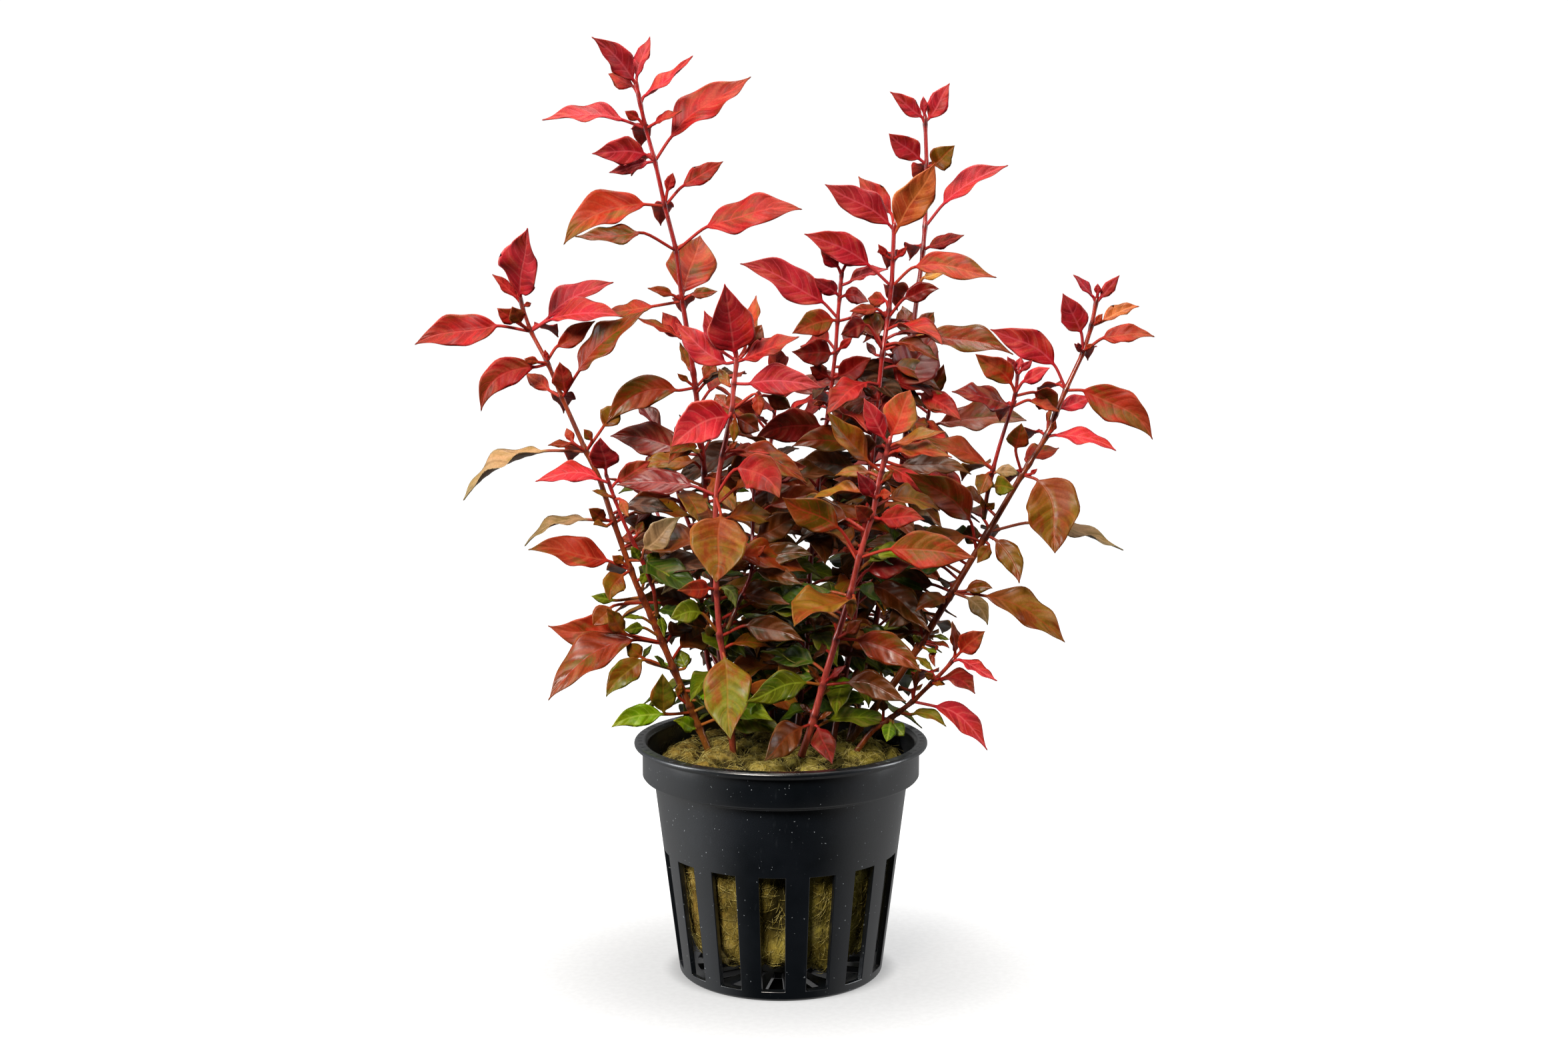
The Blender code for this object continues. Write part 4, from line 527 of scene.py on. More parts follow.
            (119.4, (58, 120.3), (64.5, 122.9), 2.2, 3, 0.4, "gold"),
            (114.6, (54, 118.4), (50.6, 125.3), 4.6, -3, 0, "rose"),
            (114.6, (58, 117.2), (67.4, 117.4), 3.3, -3, 0.6, "orange"),
            (114.8, (55.2, 115.4), (56.2, 116.2), 1, -2, 0, "orange"),
            (114.8, (53.9, 115.2), (53.5, 116.4), 1, -2, 0, "red"),
            (108, (49.2, 112.5), (37.6, 118.8), 5.4, 2, 0.9, "rose"),
            (107.8, (54.5, 107.8), (67.4, 98.8), 6.3, -4, 1.6, "orange"),
            (103.5, (50.6, 104.6), (56.6, 106.6), 2.9, 4, 0, "pink"),
            (99.4, (49.7, 99.7), (60.9, 96.8), 3, -3, 0.8, "pink"),
            (99.6, (49.2, 100.6), (49.8, 102.4), 1.1, -3, 0, "orange"),
            (100, (48.4, 102), (48.9, 105), 1, 3, 0, "orange"),
            (94.4, (44.4, 95.4), (50.5, 97.4), 3, 5, 0, "orange"),
            (92.5, (42.6, 97.4), (43.6, 101.9), 3.9, -3, 0, "brown"),
            (92.5, (46.7, 91.4), (50, 78), 9.4, -8, 1.4, "olive"),
            (92.5, (45.4, 92.6), (46.6, 93.6), 0.9, -2, 0, "red"),
            (82, (45.5, 83.7), (62.6, 78.6), 3.4, 3, 0.9, "grey"),
            (81.4, (39.2, 80.5), (43.6, 72.4), 4.2, -5, 0.9, "olive"),
            (80.6, (38, 79.4), (35.8, 76.2), 2.5, -3, 0, "olive"),
            (81, (36.4, 81.4), (33.1, 81.6), 3.5, 3, 0, "dark"),
            (78.4, (34.4, 84.2), (22.5, 93), 5.8, -4, 1, "brown"),
            (70.9, (37.4, 70.2), (52.2, 61.5), 5.4, -4, 1.4, "olive"),
            (70.9, (34.2, 69.8), (37.9, 64.7), 3.2, -7, 0.8, "grey"),
            (71, (34, 71.2), (38.8, 71.6), 2.6, -2, 0.5, "olive"),
            (70.9, (27.8, 72.3), (17.2, 70.8), 5, 3, 0.8, "dark"),
            (70, (30, 69.9), (24.6, 67.2), 3.2, -3, 0.5, "olive"),
            (62, (24.2, 69), (19.6, 64.4), 4.4, -3, 0, "dark"),
            (62, (28.2, 61.5), (31, 60.4), 1.1, -3, 0.3, "brown"),
            (61.6, (28.7, 60.6), (28.4, 56.9), 1.2, -3, 0.6, "brown"),
            (62.4, (28.3, 62.7), (31, 62.1), 1, -1, 0, "green"),
            (61, (26.9, 60.3), (28.8, 59.6), 1, -2, 0, "green"),
            (61.6, (25.4, 61.8), (24.3, 63), 1.6, -3, 0, "green"),
            (62.4, (25.8, 64.2), (26.5, 66.9), 1.8, 2, 0, "dark"),
            (58, (25.2, 58.6), (28.2, 56.3), 1.3, -3, 0, "moss"),
        ),
    },
    "right_branch": {
        "line": (
            (37, 84.4, -3), (37.4, 88.3, -4), (38.5, 93.4, -5), (39.7, 98, -5), (41.4, 103.6, -5),
            (42.5, 107.5, -6), (42.8, 111.5, -6),
        ),
        "radius": (0.5, 0.38),
        "leaves": (
            (110.6, (42.3, 111.6), (40.8, 114), 1.6, -2, 0, "rose"),
            (110.6, (43.4, 111.4), (45.4, 113.3), 1.5, -2, 0, "rose"),
            (110.6, (42.9, 112), (43.3, 113.8), 1.4, 1, 0, "rose"),
            (107.2, (41.6, 109), (35, 114.4), 4.4, -3, 0.4, "orange"),
            (107.4, (43.8, 109.4), (48.6, 111.9), 2.6, -3, 0, "pink"),
            (106.8, (46, 107.4), (49.3, 103.9), 4.4, 6, 0.6, "orange"),
            (105, (41.2, 105), (30.8, 107.6), 4, -4, 0.3, "maroon"),
            (104.8, (45, 106), (50.5, 103.9), 1.8, 2, 0, "orange"),
            (93.4, (37.6, 94), (25.5, 99.2), 3.4, -3, 0.5, "brown"),
            (93, (37.5, 92.6), (35.9, 88.7), 3.4, -5, 0, "olive"),
            (92.6, (39.2, 93), (43.2, 92.5), 2.4, -2, 0.4, "grey"),
            (90.4, (38.8, 90.4), (42.4, 89.9), 3.5, -6, 0.3, "moss"),
            (86.4, (37.8, 86.4), (38.9, 87.4), 1.6, -2, 0, "olive"),
            (86, (36.8, 86.6), (36.5, 88.5), 1, -2, 0, "olive"),
        ),
    },
    "low_right": {
        "line": (
            (13.6, 40.6, -4), (16.8, 45, -6), (21, 47.9, -7), (24.3, 50.5, -8), (28.4, 54.6, -9),
            (31, 57.4, -10), (32.3, 59.2, -10),
        ),
        "radius": (0.75, 0.42),
        "leaves": (
            (58.4, (32, 59.6), (31.4, 65.6), 2, -1, 0, "brown"),
            (58.4, (33, 59.8), (37.5, 63.7), 4, -3, 0.2, "orange"),
            (58, (32.9, 58.3), (39.9, 54.3), 2.1, -5, 0, "pink"),
            (54.6, (29.2, 54.7), (35.8, 51.9), 3.4, -4, 1.2, "maroon"),
            (54.6, (27.9, 54.9), (26.4, 55.9), 1.5, -2, 0, "olive"),
            (54, (28.4, 53.8), (30.3, 53.8), 1.1, -4, 0, "olive"),
            (50.5, (28.4, 49.6), (38.2, 41.2), 4.2, -4, 1.4, "pink"),
            (50.5, (24.7, 53.3), (25.3, 56.6), 1.3, -3, 0, "brown"),
            (48.4, (24.2, 48.1), (30.6, 45.7), 2, -5, 0.9, "moss"),
            (47.4, (20.2, 46.4), (19.5, 42.9), 2.7, -5, 0, "lime"),
            (47.4, (20.9, 46.2), (22.8, 44), 2.7, -2, 0, "lime"),
            (46.4, (18.9, 48.8), (18.9, 51), 1.7, -1, 0, "dark"),
        ),
    },
    "back_left": {
        "line": (
            (-10, 44.5, 14), (-13.4, 58, 15), (-15.2, 75, 14), (-16.2, 82, 14), (-18.4, 88, 15),
            (-20.5, 97, 17),
        ),
        "radius": (0.75, 0.42),
        "leaves": (
            (79, (-17, 79.6), (-19.7, 82.8), 2.7, -4, 0, "olive"),
            (87.4, (-19.6, 87.8), (-28.3, 86.6), 3.4, -3, 0.9, "brown"),
            (77, (-16.8, 77.2), (-19.8, 78.6), 2, -2, 0, "olive"),
            (74.6, (-16.6, 74.4), (-21.9, 70.4), 3.2, -9, 0, "grey"),
            (68, (-16, 68.6), (-26, 70), 4.4, -8, 0.5, "dark"),
        ),
    },
    "back_middle": {
        "line": ((-1.5, 44.4, 13), (-2.4, 60, 20), (-3.2, 78, 27), (-2.2, 95, 33), (-0.6, 108, 36)),
        "radius": (0.8, 0.4),
        "leaves": (),
    },
    "back_right": {
        "line": (
            (5.6, 44, 12), (10.4, 60, 19), (17, 78, 25), (23.4, 94, 28), (26.2, 100.6, 28),
            (27, 105, 28),
        ),
        "radius": (0.8, 0.4),
        "leaves": (
            (100.6, (28.6, 101.8), (44.6, 102.3), 5.2, -6, 0.8, "brown"),
            (103.4, (27.1, 106.6), (29.4, 112.6), 3.4, -4, 0, "brown"),
            (99, (25.2, 99.6), (21.6, 102), 2.2, -4, 0, "olive"),
        ),
    },
    "back_far_left": {
        "line": ((-6.4, 45, 16), (-12, 58, 27), (-18, 72, 36), (-23, 87, 42)),
        "radius": (0.75, 0.4),
        "leaves": (),
    },
    "back_far_right": {
        "line": ((3.4, 45.2, 17), (9.4, 58, 30), (15.8, 71, 40), (21.6, 84, 46)),
        "radius": (0.75, 0.4),
        "leaves": (),
    },
}

# Pairs of leaves grown by rule: from and up to a height, the step, the leaf's length, which ways the pairs
# point in turn, and their tones from the foot to the top.
grownPairs = {
    "back_middle": (52, 107.6, 7.9, 14.0, (0, 90), ("green", "olive", "brown", "maroon", "red")),
    "back_right": (52, 96, 8.8, 14.0, (0, 90), ("green", "olive", "brown", "maroon")),
    "back_left": (52, 96.6, 8.9, 13.0, (35, 125), ("green", "olive", "brown", "maroon")),
    "back_far_left": (54, 86.6, 8.1, 13.0, (0, 90), ("green", "olive", "brown", "red")),
    "back_far_right": (54, 83.6, 7.4, 13.0, (0, 90), ("green", "olive", "brown", "red")),
    "tall_left": (56, 104, 10.0, 12.0, (70, 110), ("green", "olive", "dark")),
    "right_middle": (54, 96, 10.0, 12.0, (70, 20), ("green", "olive", "dark")),
    "middle": (54, 96, 9.0, 12.0, (20, 100), ("green", "olive", "dark")),
    "tall_right": (54, 112, 9.5, 12.0, (75, 105), ("green", "olive", "brown")),
}
# Single leaves that point away from the viewer on the shoots in front: the heights of their joints.
backLeaves = {
    "tall_left": (124, 141, 149, 155),
    "left": (56.5, 62, 75, 84, 97, 106.5, 118.6),
    "front_left": (63, 96.2, 104.4),
    "front_right": (62.4, 77.4, 96),
    "tall_right": (133, 148),
    "right_middle": (121, 126.5, 131.5),
    "right": (62, 71, 82, 92.6, 99.5, 108, 114.7),
    "right_branch": (93.5, 105),
    "low_right": (50.6, 54.7),
}

growth = {  # shares of a grown leaf's length, and the spans that its draws come from
    "stalk": 0.3, "droop": 0.55, "halfWidth": 0.19, "arch": 0.07, "sway": 14, "size": (0.85, 1.1),
    "rise": (0.1, 0.35), "youngFrom": 0.85, "youngSize": 0.7, "youngRise": 0.9,
    "backSway": 20, "backLength": (9.0, 12.0), "backRise": (0.1, 0.3),
    "backTones": ((0.35, "olive"), (0.6, "brown"), (2, "red")),
}

viewPoint = Vector((0.58, -364.0, 129.4))  # where the camera stands
leafFit = {  # the same sizes and tries as the solids have
    "widthToLength": 0.4, "lengthToWidth": 1.7, "gap": 0.03,
    "depths": (0, -1.5, 1.5, -3, 3, -4.5, 4.5, -6, 6, -8, 8, -10, 10, -13, 13, -16, 16),
    "turns": (0, 12, -12, 24, -24, 36, -36, 50, -50, 65, -65, 80, -80),
    "stretches": (1.0, 0.85, 0.7, 0.55),
}


def at(x, z, y=0.0):  # the real point, y behind the middle plane, that is seen at x and z on that plane
    reach = (y - viewPoint.y) / -viewPoint.y
    return viewPoint + (Vector((x, 0.0, z)) - viewPoint) * reach


def stemAt(shoot, height):
    line = shoot["line"]
    low, high = line[0][1], line[-1][1]
    height = min(max(height, low), high)
    for (x0, z0, y0), (x1, z1, y1) in zip(line, line[1:]):
        if height <= z1:
            share = (height - z0) / (z1 - z0)
            x, y = x0 + (x1 - x0) * share, y0 + (y1 - y0) * share
            break
    return Vector((x, height)), y


def seenBlade(shoot, leaf, shift, stretch):
    joint, depth = stemAt(shoot, leaf.joint)
    base, tip = Vector(leaf.base), Vector(leaf.tip)
    tip = base + (tip - base) * stretch
    stalk, length = (base - joint).length, (tip - base).length
    hidden = math.sqrt(max((leafFit["lengthToWidth"] * leaf.width) ** 2 - length**2, 0.0))
    away = math.copysign(max(abs(leaf.y), hidden), leaf.y) + shift
    tip3 = at(tip.x, tip.y, depth + away)
    base3 = at(base.x, base.y, depth + away * stalk / (stalk + length))
    axis = (tip3 - base3).normalized()
    toEye = (viewPoint - base3).normalized()
    facing = (toEye - axis * toEye.dot(axis)).normalized()
    width = max(leaf.width, leafFit["widthToLength"] * (tip3 - base3).length)
    shown = leaf.width / width
    hiddenPart = axis.cross(facing) * math.sqrt(1 - shown**2)
    normal = max((facing * shown + hiddenPart, facing * shown - hiddenPart), key=lambda n: n.z)
    arch = toEye.cross(axis).normalized()
    arch = arch * math.copysign(leaf.bow, arch.z * leaf.bow) if leaf.bow else Vector()
    return Blade(at(joint.x, joint.y, depth), base3, tip3, width / 2, normal, arch)


def grownBlade(shoot, leaf, turn, stretch):
    joint, depth = stemAt(shoot, leaf.joint)
    joint3 = at(joint.x, joint.y, depth)
    way = math.radians(leaf.azimuth + turn)
    out = Vector((math.cos(way), math.sin(way), 0))
    base3 = joint3 + (out + Vector((0, 0, leaf.rise))) * leaf.length * growth["stalk"]
    tip3 = base3 + (out + Vector((0, 0, leaf.rise - growth["droop"]))) * leaf.length * stretch
    axis = (tip3 - base3).normalized()
    normal = axis.cross(Vector((0, 0, 1)).cross(axis).normalized())
    arch = normal * leaf.length * growth["arch"]
    return Blade(joint3, base3, tip3, leaf.length * growth["halfWidth"], normal, arch)


def grownLeaves(name, shoot, rng):
    leaves = []
    if name in grownPairs:
        low, high, step, length, ways, tones = grownPairs[name]
        count = int((high - low) / step) + 1
        for number in range(count):
            share = number / (count - 1)
            tone = tones[min(int(share * len(tones)), len(tones) - 1)]
            young = share > growth["youngFrom"]
            for opposite in (0, 180):
                azimuth = ways[number % 2] + opposite + rng.uniform(-growth["sway"], growth["sway"])
                size = length * rng.uniform(*growth["size"]) * (growth["youngSize"] if young else 1.0)
                rise = rng.uniform(*growth["rise"]) + (growth["youngRise"] if young else 0.0)
                leaves.append(GrownLeaf(low + number * step, azimuth, size, rise, tone))
    low, high = shoot["line"][0][1], shoot["line"][-1][1]
    for joint in backLeaves.get(name, ()):
        share = (joint - low) / (high - low)
        tone = next(tone for top, tone in growth["backTones"] if share < top)
        azimuth = 90 + rng.uniform(-growth["backSway"], growth["backSway"])
        size, rise = rng.uniform(*growth["backLength"]), rng.uniform(*growth["backRise"])
        leaves.append(GrownLeaf(joint, azimuth, size, rise, tone))
    return leaves


def cornersOf(node):  # the solid's corners in millimetres, for finding a leaf's tip among them
    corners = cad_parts[node].data.vertices
    tree = kdtree.KDTree(len(corners))
    for number, corner in enumerate(corners):
        tree.insert(corner.co / mm, number)
    tree.balance()
    return tree


def settled(make, tries, solid):
    # Of the places that a leaf may take, the one whose tip is a corner of its solid.
    places = [make(change, stretch) for stretch in leafFit["stretches"] for change in tries]
    gaps = [solid.find(blade.tip)[2] for blade in places]
    nearest = min(range(len(places)), key=gaps.__getitem__)
    return (places[nearest], True) if gaps[nearest] < leafFit["gap"] else (places[0], False)


# The small leaves deep among the shoots: from and up to a height on each stem, how many, and which ways.
allRound = (0, 360)
thicket = {
    "tall_left": (47, 108, 26, allRound), "front_left": (46, 100, 26, (15, 165)),
    "front_branch": (64, 92, 12, (10, 170)), "front_right": (43, 94, 24, (15, 165)),
    "middle": (46, 116, 42, allRound), "right_middle": (46, 120, 38, allRound),
    "tall_right": (48, 120, 36, allRound), "back_left": (48, 97, 24, allRound),
    "back_middle": (48, 108, 34, allRound), "back_right": (48, 104, 32, allRound),
    "right": (45, 86, 20, (60, 230)), "left": (45, 86, 18, (-50, 120)),
    "back_far_left": (56, 86, 10, allRound), "back_far_right": (56, 84, 10, allRound),
}
thicketLook = {  # a small leaf's length and rise, the lean of its face, and how much broader it is
    "seed": 5, "tries": 12, "length": (6.0, 15.0), "rise": (-0.1, 0.8), "toViewer": (0.3, 1.2),
    "aside": (-0.5, 0.5), "upward": 0.7, "broader": 1.15,
}
# The two darkest tones of the small leaves are painted shade for leaves deep inside the plant.
thicketTones = (  # up to a height, the tones drawn from
    (58, ("pine", "green", "pine", "lime", "olive", "green")),
    (76, ("pine", "green", "umber", "pine", "olive", "dark")),
    (94, ("umber", "dark", "pine", "olive", "brown")),
    (200, ("maroon", "umber", "brown", "red")),
)
# The body of the plant as it is seen: a height, and its left and right edge there.
thicketEdges = ((43, -21, 25), (60, -24, 31), (75, -30, 34), (90, -30, 38), (104, -22, 32), (121, -16, 31))


def insideThicket(point):  # whether a point is seen within the body of the plant
    there = viewPoint + (point - viewPoint) * (-viewPoint.y / (point.y - viewPoint.y))
    heights, lows, highs = zip(*thicketEdges)
    if not heights[0] < there.z < heights[-1]:
        return False
    return np.interp(there.z, heights, lows) < there.x < np.interp(there.z, heights, highs)


def thicketLeaves():
    # The blades and tones of the small leaves, under the name of the stem that they grow on.
    look = thicketLook
    rng, grown = random.Random(look["seed"]), {}
    for name, (low, high, count, ways) in thicket.items():
        for number in range(count):
            height = low + (high - low) * (number + rng.random()) / count
            tones = next(tones for top, tones in thicketTones if height < top)
            for attempt in range(look["tries"]):
                azimuth, size = rng.uniform(*ways), rng.uniform(*look["length"])
                leaf = GrownLeaf(height, azimuth, size, rng.uniform(*look["rise"]), rng.choice(tones))
                blade = grownBlade(shoots[name], leaf, 0, 1.0)
                axis = (blade.tip - blade.base).normalized()
                facing = (viewPoint - blade.base).normalized() * rng.uniform(*look["toViewer"])
                facing = facing + Vector((rng.uniform(*look["aside"]), 0, look["upward"]))
                normal = (facing - axis * facing.dot(axis)).normalized()
                blade = blade._replace(normal=normal, half=blade.half * look["broader"])
                if insideThicket(blade.tip) and insideThicket(blade.base):
                    grown.setdefault(f"{name}_stem", []).append((blade, leaf.tone))
                    break
    print("small leaves among the shoots:", sum(map(len, grown.values())))
    return grown


def placeLeaves():
    # The blade and tone of every leaf that the solids have, under the name of its CAD node.
    rng = random.Random(11)
    placed, astray = {name: [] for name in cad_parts}, []
    for name, shoot in shoots.items():
        stem = f"{name}_stem"
        stemCorners = cornersOf(stem)
        for number, row in enumerate(shoot["leaves"]):
            leaf = SeenLeaf(*row)
            own = f"{name}_leaf_{number + 1:02d}"
            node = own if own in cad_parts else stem
            corners = cornersOf(own) if node == own else stemCorners
            blade, found = settled(lambda c, s: seenBlade(shoot, leaf, c, s), leafFit["depths"], corners)
            placed[node].append((blade, leaf.tone))
            astray += [] if found else [(node, number + 1)]
        for leaf in grownLeaves(name, shoot, rng):
            blade, found = settled(lambda c, s: grownBlade(shoot, leaf, c, s), leafFit["turns"], stemCorners)
            if found:
                placed[stem].append((blade, leaf.tone))
            else:
                astray.append((stem, leaf.joint))
    print("leaves placed:", sum(map(len, placed.values())), "not matched:", astray)
    return placed


leafLook = {
    "stalkRadius": 0.28, "thickness": 0.26, "broader": 1.04, "bluntFrom": 0.24, "bluntTo": 1.6,
    "shoulder": (0.8, 1.0), "point": (1.2, 1.45), "fold": 0.3, "rib": 0.22, "ribWidth": 0.3, "quilt": 0.05,
    "veinGap": 1.9, "veinCount": (3.2, 8.0), "veinCurve": 0.24, "wave": 0.042, "waves": (1.6, 2.6),
    "scallop": 0.055, "scallops": (2.2, 3.6), "bend": 0.03, "twist": 0.22, "rowsPerMm": 2.0, "rows": (7, 34),
    "across": (2, 6), "colour": 0.14, "stalk": "#98201c", "underside": 0.65,
}
# Each tone: the upper side at its base, in its middle and at its tip, its patches, veins, edge and underside;
# the underside colour is brighter as painted light shining through the leaf.
# The edge colour is the margin's own, made paler by a painted highlight.
leafTones = {
    "pink": ("#ac1420", "#b8242e", "#a4282c", "#a4200c", "#c45050", "#d88078", "#b44040"),
    "rose": ("#980a18", "#a01c28", "#8c2820", "#942014", "#b44048", "#c86464", "#a03034"),
    "red": ("#900a0c", "#941212", "#7c2814", "#702c08", "#a83028", "#b85c50", "#983020"),
    "orange": ("#981c0c", "#9c2a12", "#80361c", "#644c10", "#a04428", "#b0644c", "#983c20"),
    "gold": ("#a04018", "#b06028", "#a44420", "#9c3418", "#bc6c3c", "#d09460", "#a86434"),
    "maroon": ("#680808", "#6c0a08", "#601606", "#4c1a04", "#80201c", "#8c3c30", "#701c14"),
    "dark": ("#541c04", "#542802", "#502a06", "#342c04", "#682c0a", "#84542c", "#5c340c"),
    "brown": ("#7c2008", "#782a06", "#6c3408", "#504404", "#8c2c18", "#9c5c30", "#7c4410"),
    "olive": ("#80340c", "#74540c", "#704810", "#782808", "#8c4018", "#a05428", "#785c1c"),
    "moss": ("#6c5010", "#64680e", "#645c12", "#7c3008", "#806018", "#9c5828", "#747428"),
    "green": ("#585c06", "#5a6406", "#605c06", "#344c04", "#788420", "#907c30", "#6c7824"),
    "lime": ("#6c8c04", "#6e9206", "#7c7c0a", "#4c7004", "#98ac38", "#a0a044", "#8ca438"),
    "grey": ("#a07c54", "#987854", "#706844", "#78602c", "#a0805c", "#c0b090", "#a08c68"),
    "cream": ("#a05818", "#b07c30", "#b04830", "#8c5814", "#c89850", "#d8b078", "#b08840"),
    # Two darkened tones: painted shade for the small leaves deep inside the plant.
    "umber": ("#340e02", "#381802", "#341c04", "#241804", "#4c1e0a", "#64401f", "#402408"),
    "pine": ("#2c3c04", "#304606", "#383804", "#203404", "#445810", "#606424", "#3c4c10"),
}
# The finish of a tone, by its place among the plant's: red or dark. The tones left out are green.
redFinish, darkFinish, greenFinish, stemFinish = range(4)
leafFinishes = {
    **dict.fromkeys(("pink", "rose", "red", "orange", "gold"), redFinish),
    **dict.fromkeys(("maroon", "dark", "brown", "umber"), darkFinish),
}


def leafWidth(u, taper, point):  # the share of its half width that the blade has at u, from base to tip
    peak = taper / (point + taper)
    return (1 - u) ** point * u**taper / ((1 - peak) ** point * peak**taper)


def addLeaf(shape, blade, tone, rng):
    look = leafLook
    base, tip, start = np.array(blade.base), np.array(blade.tip), np.array(blade.start)
    normal, middle = np.array(blade.normal), (base + tip) / 2 + np.array(blade.arch) * 2
    length, stalk = np.linalg.norm(tip - base), np.linalg.norm(base - start)
    rows = int(np.clip(length * look["rowsPerMm"], *look["rows"]))
    across = 2 * int(np.clip(round(blade.half * 1.6), *look["across"]))

    # The middle line: a bow along the blade, and before it the stalk, which leaves the joint straight.
    u = np.arange(rows) / rows
    u = u - 0.07 * np.sin(math.tau * u) * (1 if rows > 8 else 0)  # closer rows at both ends
    centres = ((1 - u) ** 2)[:, None] * base + (2 * u * (1 - u))[:, None] * middle + (u**2)[:, None] * tip
    ways = unit((1 - u)[:, None] * (middle - base) + u[:, None] * (tip - middle))
    stalkRows = 6 if stalk > 2 else 4
    t = np.arange(stalkRows) / stalkRows
    lead = unit(base - start) * stalk
    pull = ways[0] * stalk * 0.6
    hermite = np.stack([2 * t**3 - 3 * t**2 + 1, t**3 - 2 * t**2 + t, -2 * t**3 + 3 * t**2, t**3 - t**2])
    stalkCentres = (hermite[:, :, None] * np.stack([start, lead, base, pull])[:, None, :]).sum(0)
    slopes = np.diff(np.vstack([stalkCentres, base]), axis=0)
    centres, ways = np.vstack([stalkCentres, centres]), np.vstack([unit(slopes), ways])
    place = np.concatenate([(t - 1) * stalk, u * length])
    uAll = np.concatenate([t - 1, u])
    onBlade = np.clip(uAll, 0, 1)
    flat = np.clip(uAll / 0.1, 0, 1)  # 0 on the round stalk and 1 on the flat blade
    flat = flat * flat * (3 - 2 * flat)

    # The directions across and up at each row, twisted a little.
    sides = np.zeros_like(ways)
    sides[stalkRows:] = unit(np.cross(ways[stalkRows:], normal))
    for ring in reversed(range(stalkRows)):
        turned = sides[ring + 1] - ways[ring] * (sides[ring + 1] @ ways[ring])
        sides[ring] = turned / np.linalg.norm(turned)
    ups = np.cross(sides, ways)
    twist = look["twist"] * rng.uniform(-1, 1) * onBlade
    cosine, sine = np.cos(twist)[:, None], np.sin(twist)[:, None]
    sides, ups = sides * cosine + ups * sine, ups * cosine - sides * sine
    bend = look["bend"] * rng.uniform(-1, 1) * length * np.sin(math.tau * onBlade)
    centres = centres + sides * bend[:, None]

    # The outline, with notched edges.
    plump = min(blade.half / max(length, 1) / look["bluntFrom"], look["bluntTo"])  # broad blades are blunter
    shoulder, point = rng.uniform(*look["shoulder"]), rng.uniform(*look["point"])
    widths = leafWidth(onBlade, shoulder / plump**0.25, point / plump**0.3)
    halves = np.maximum(blade.half * look["broader"] * widths, look["stalkRadius"] * (1 - 0.5 * onBlade))
    turn = np.linspace(0, math.pi, across + 1)
    spread = np.cos(turn) + (1 - 2 * turn / math.pi - np.cos(turn)) * 0.7 * flat[:, None]
    under = spread[:, -2:0:-1]
    v = np.hstack([spread, under])
    face = np.hstack([np.ones_like(spread), -np.ones_like(under)])
    face[:, 0] = face[:, across] = 0
    notch = []
    for side in range(2):
        beats = rng.uniform(*look["scallops"]) * onBlade
        notch.append(np.sin(math.tau * (beats + rng.random()))[:, None])
    notch = 1 + look["scallop"] * np.where(v > 0, *notch) * np.sin(math.pi * onBlade)[:, None]
    offAxis = v * halves[:, None] * notch

    # The relief: the body's thickness, the rib, the fold along it, the rippled edges and the quilt of veins.
    roundness = np.sqrt(np.maximum(1 - v**2, 0))
    body = look["stalkRadius"] * (1 - flat) + look["thickness"] / 2 * flat
    rise = face * roundness * body[:, None]
    ridge = np.exp(-((offAxis / look["ribWidth"]) ** 2)) * (1 - 0.85 * onBlade[:, None]) * flat[:, None]
    rise = rise - ridge * np.where(face < 0, look["rib"], 0.3 * look["rib"])
    fold = look["fold"] * rng.uniform(0.5, 1.5)
    rise = rise + fold * halves[:, None] * (np.abs(v) ** 1.2) * flat[:, None]
    phases, beats = (rng.uniform(0, 6.28), rng.uniform(0, 6.28)), rng.uniform(*look["waves"])
    ripple = np.sin(math.tau * beats * onBlade[:, None] + np.where(v > 0, phases[0], phases[1]))
    rise = rise + ripple * look["wave"] * length * v**2 * widths[:, None] * flat[:, None]
    veins = np.clip(length / look["veinGap"], *look["veinCount"])
    vein = (uAll[:, None] - look["veinCurve"] * np.abs(v) ** 1.3) * veins
    quilt = look["quilt"] * np.cos(math.tau * vein) * flat[:, None]
    rise = rise - quilt * np.minimum(halves, 1)[:, None] * (1 - v**2)
    points = centres[:, None] + sides[:, None] * offAxis[..., None] + ups[:, None] * rise[..., None]
    points = np.vstack([points.reshape(-1, 3), tip])

    # The colours, and what the finish reads: how far along and across a point is, and which vein is near.
    around = 2 * across
    deep, main, end, patch, rib, rim, back = [np.array(paint(code)) for code in leafTones[tone]]
    shade = 1 + rng.uniform(-1, 1) * look["colour"]
    spot = onBlade[:, None, None]
    colour = np.where(spot < 0.5, deep + (main - deep) * spot * 2, main + (end - main) * (spot - 0.5) * 2)
    colour = np.broadcast_to(colour, (len(uAll), around, 4))
    # The underside takes a brighter colour: painted light shining through the leaf.
    below = colour * (1 - look["underside"]) + back * look["underside"]
    colour = np.where(face[..., None] < 0, below, colour) * shade
    stalkTint = np.array(paint(look["stalk"])) * 0.7 + rib * 0.3
    stalky = np.clip(1 - (uAll + 0.12) * 8, 0, 1)[:, None, None]
    colour = colour * (1 - stalky) + stalkTint * stalky
    colour = np.vstack([colour.reshape(-1, 4), end * shade])
    colour[:, 3] = 1
    chance = rng.random() * 90  # each leaf has its own part of the noise
    lay = [np.broadcast_to(place[:, None], v.shape), offAxis, np.full(v.shape, chance)]
    share = [np.broadcast_to(uAll[:, None], v.shape), v, vein]
    lay, share = (np.stack(columns, -1).reshape(-1, 3) for columns in (lay, share))
    shape.add(
        points, tubeFaces(len(uAll), around, tip=True), leafFinishes.get(tone, greenFinish), tint=colour,
        patchTint=np.tile(patch * shade, (len(points), 1)), veinTint=np.tile(rib, (len(points), 1)),
        edgeTint=np.tile(rim, (len(points), 1)), leafPlace=np.vstack([lay, [length, 0, chance]]),
        leafShare=np.vstack([share, [1, 0, veins]]),
    )


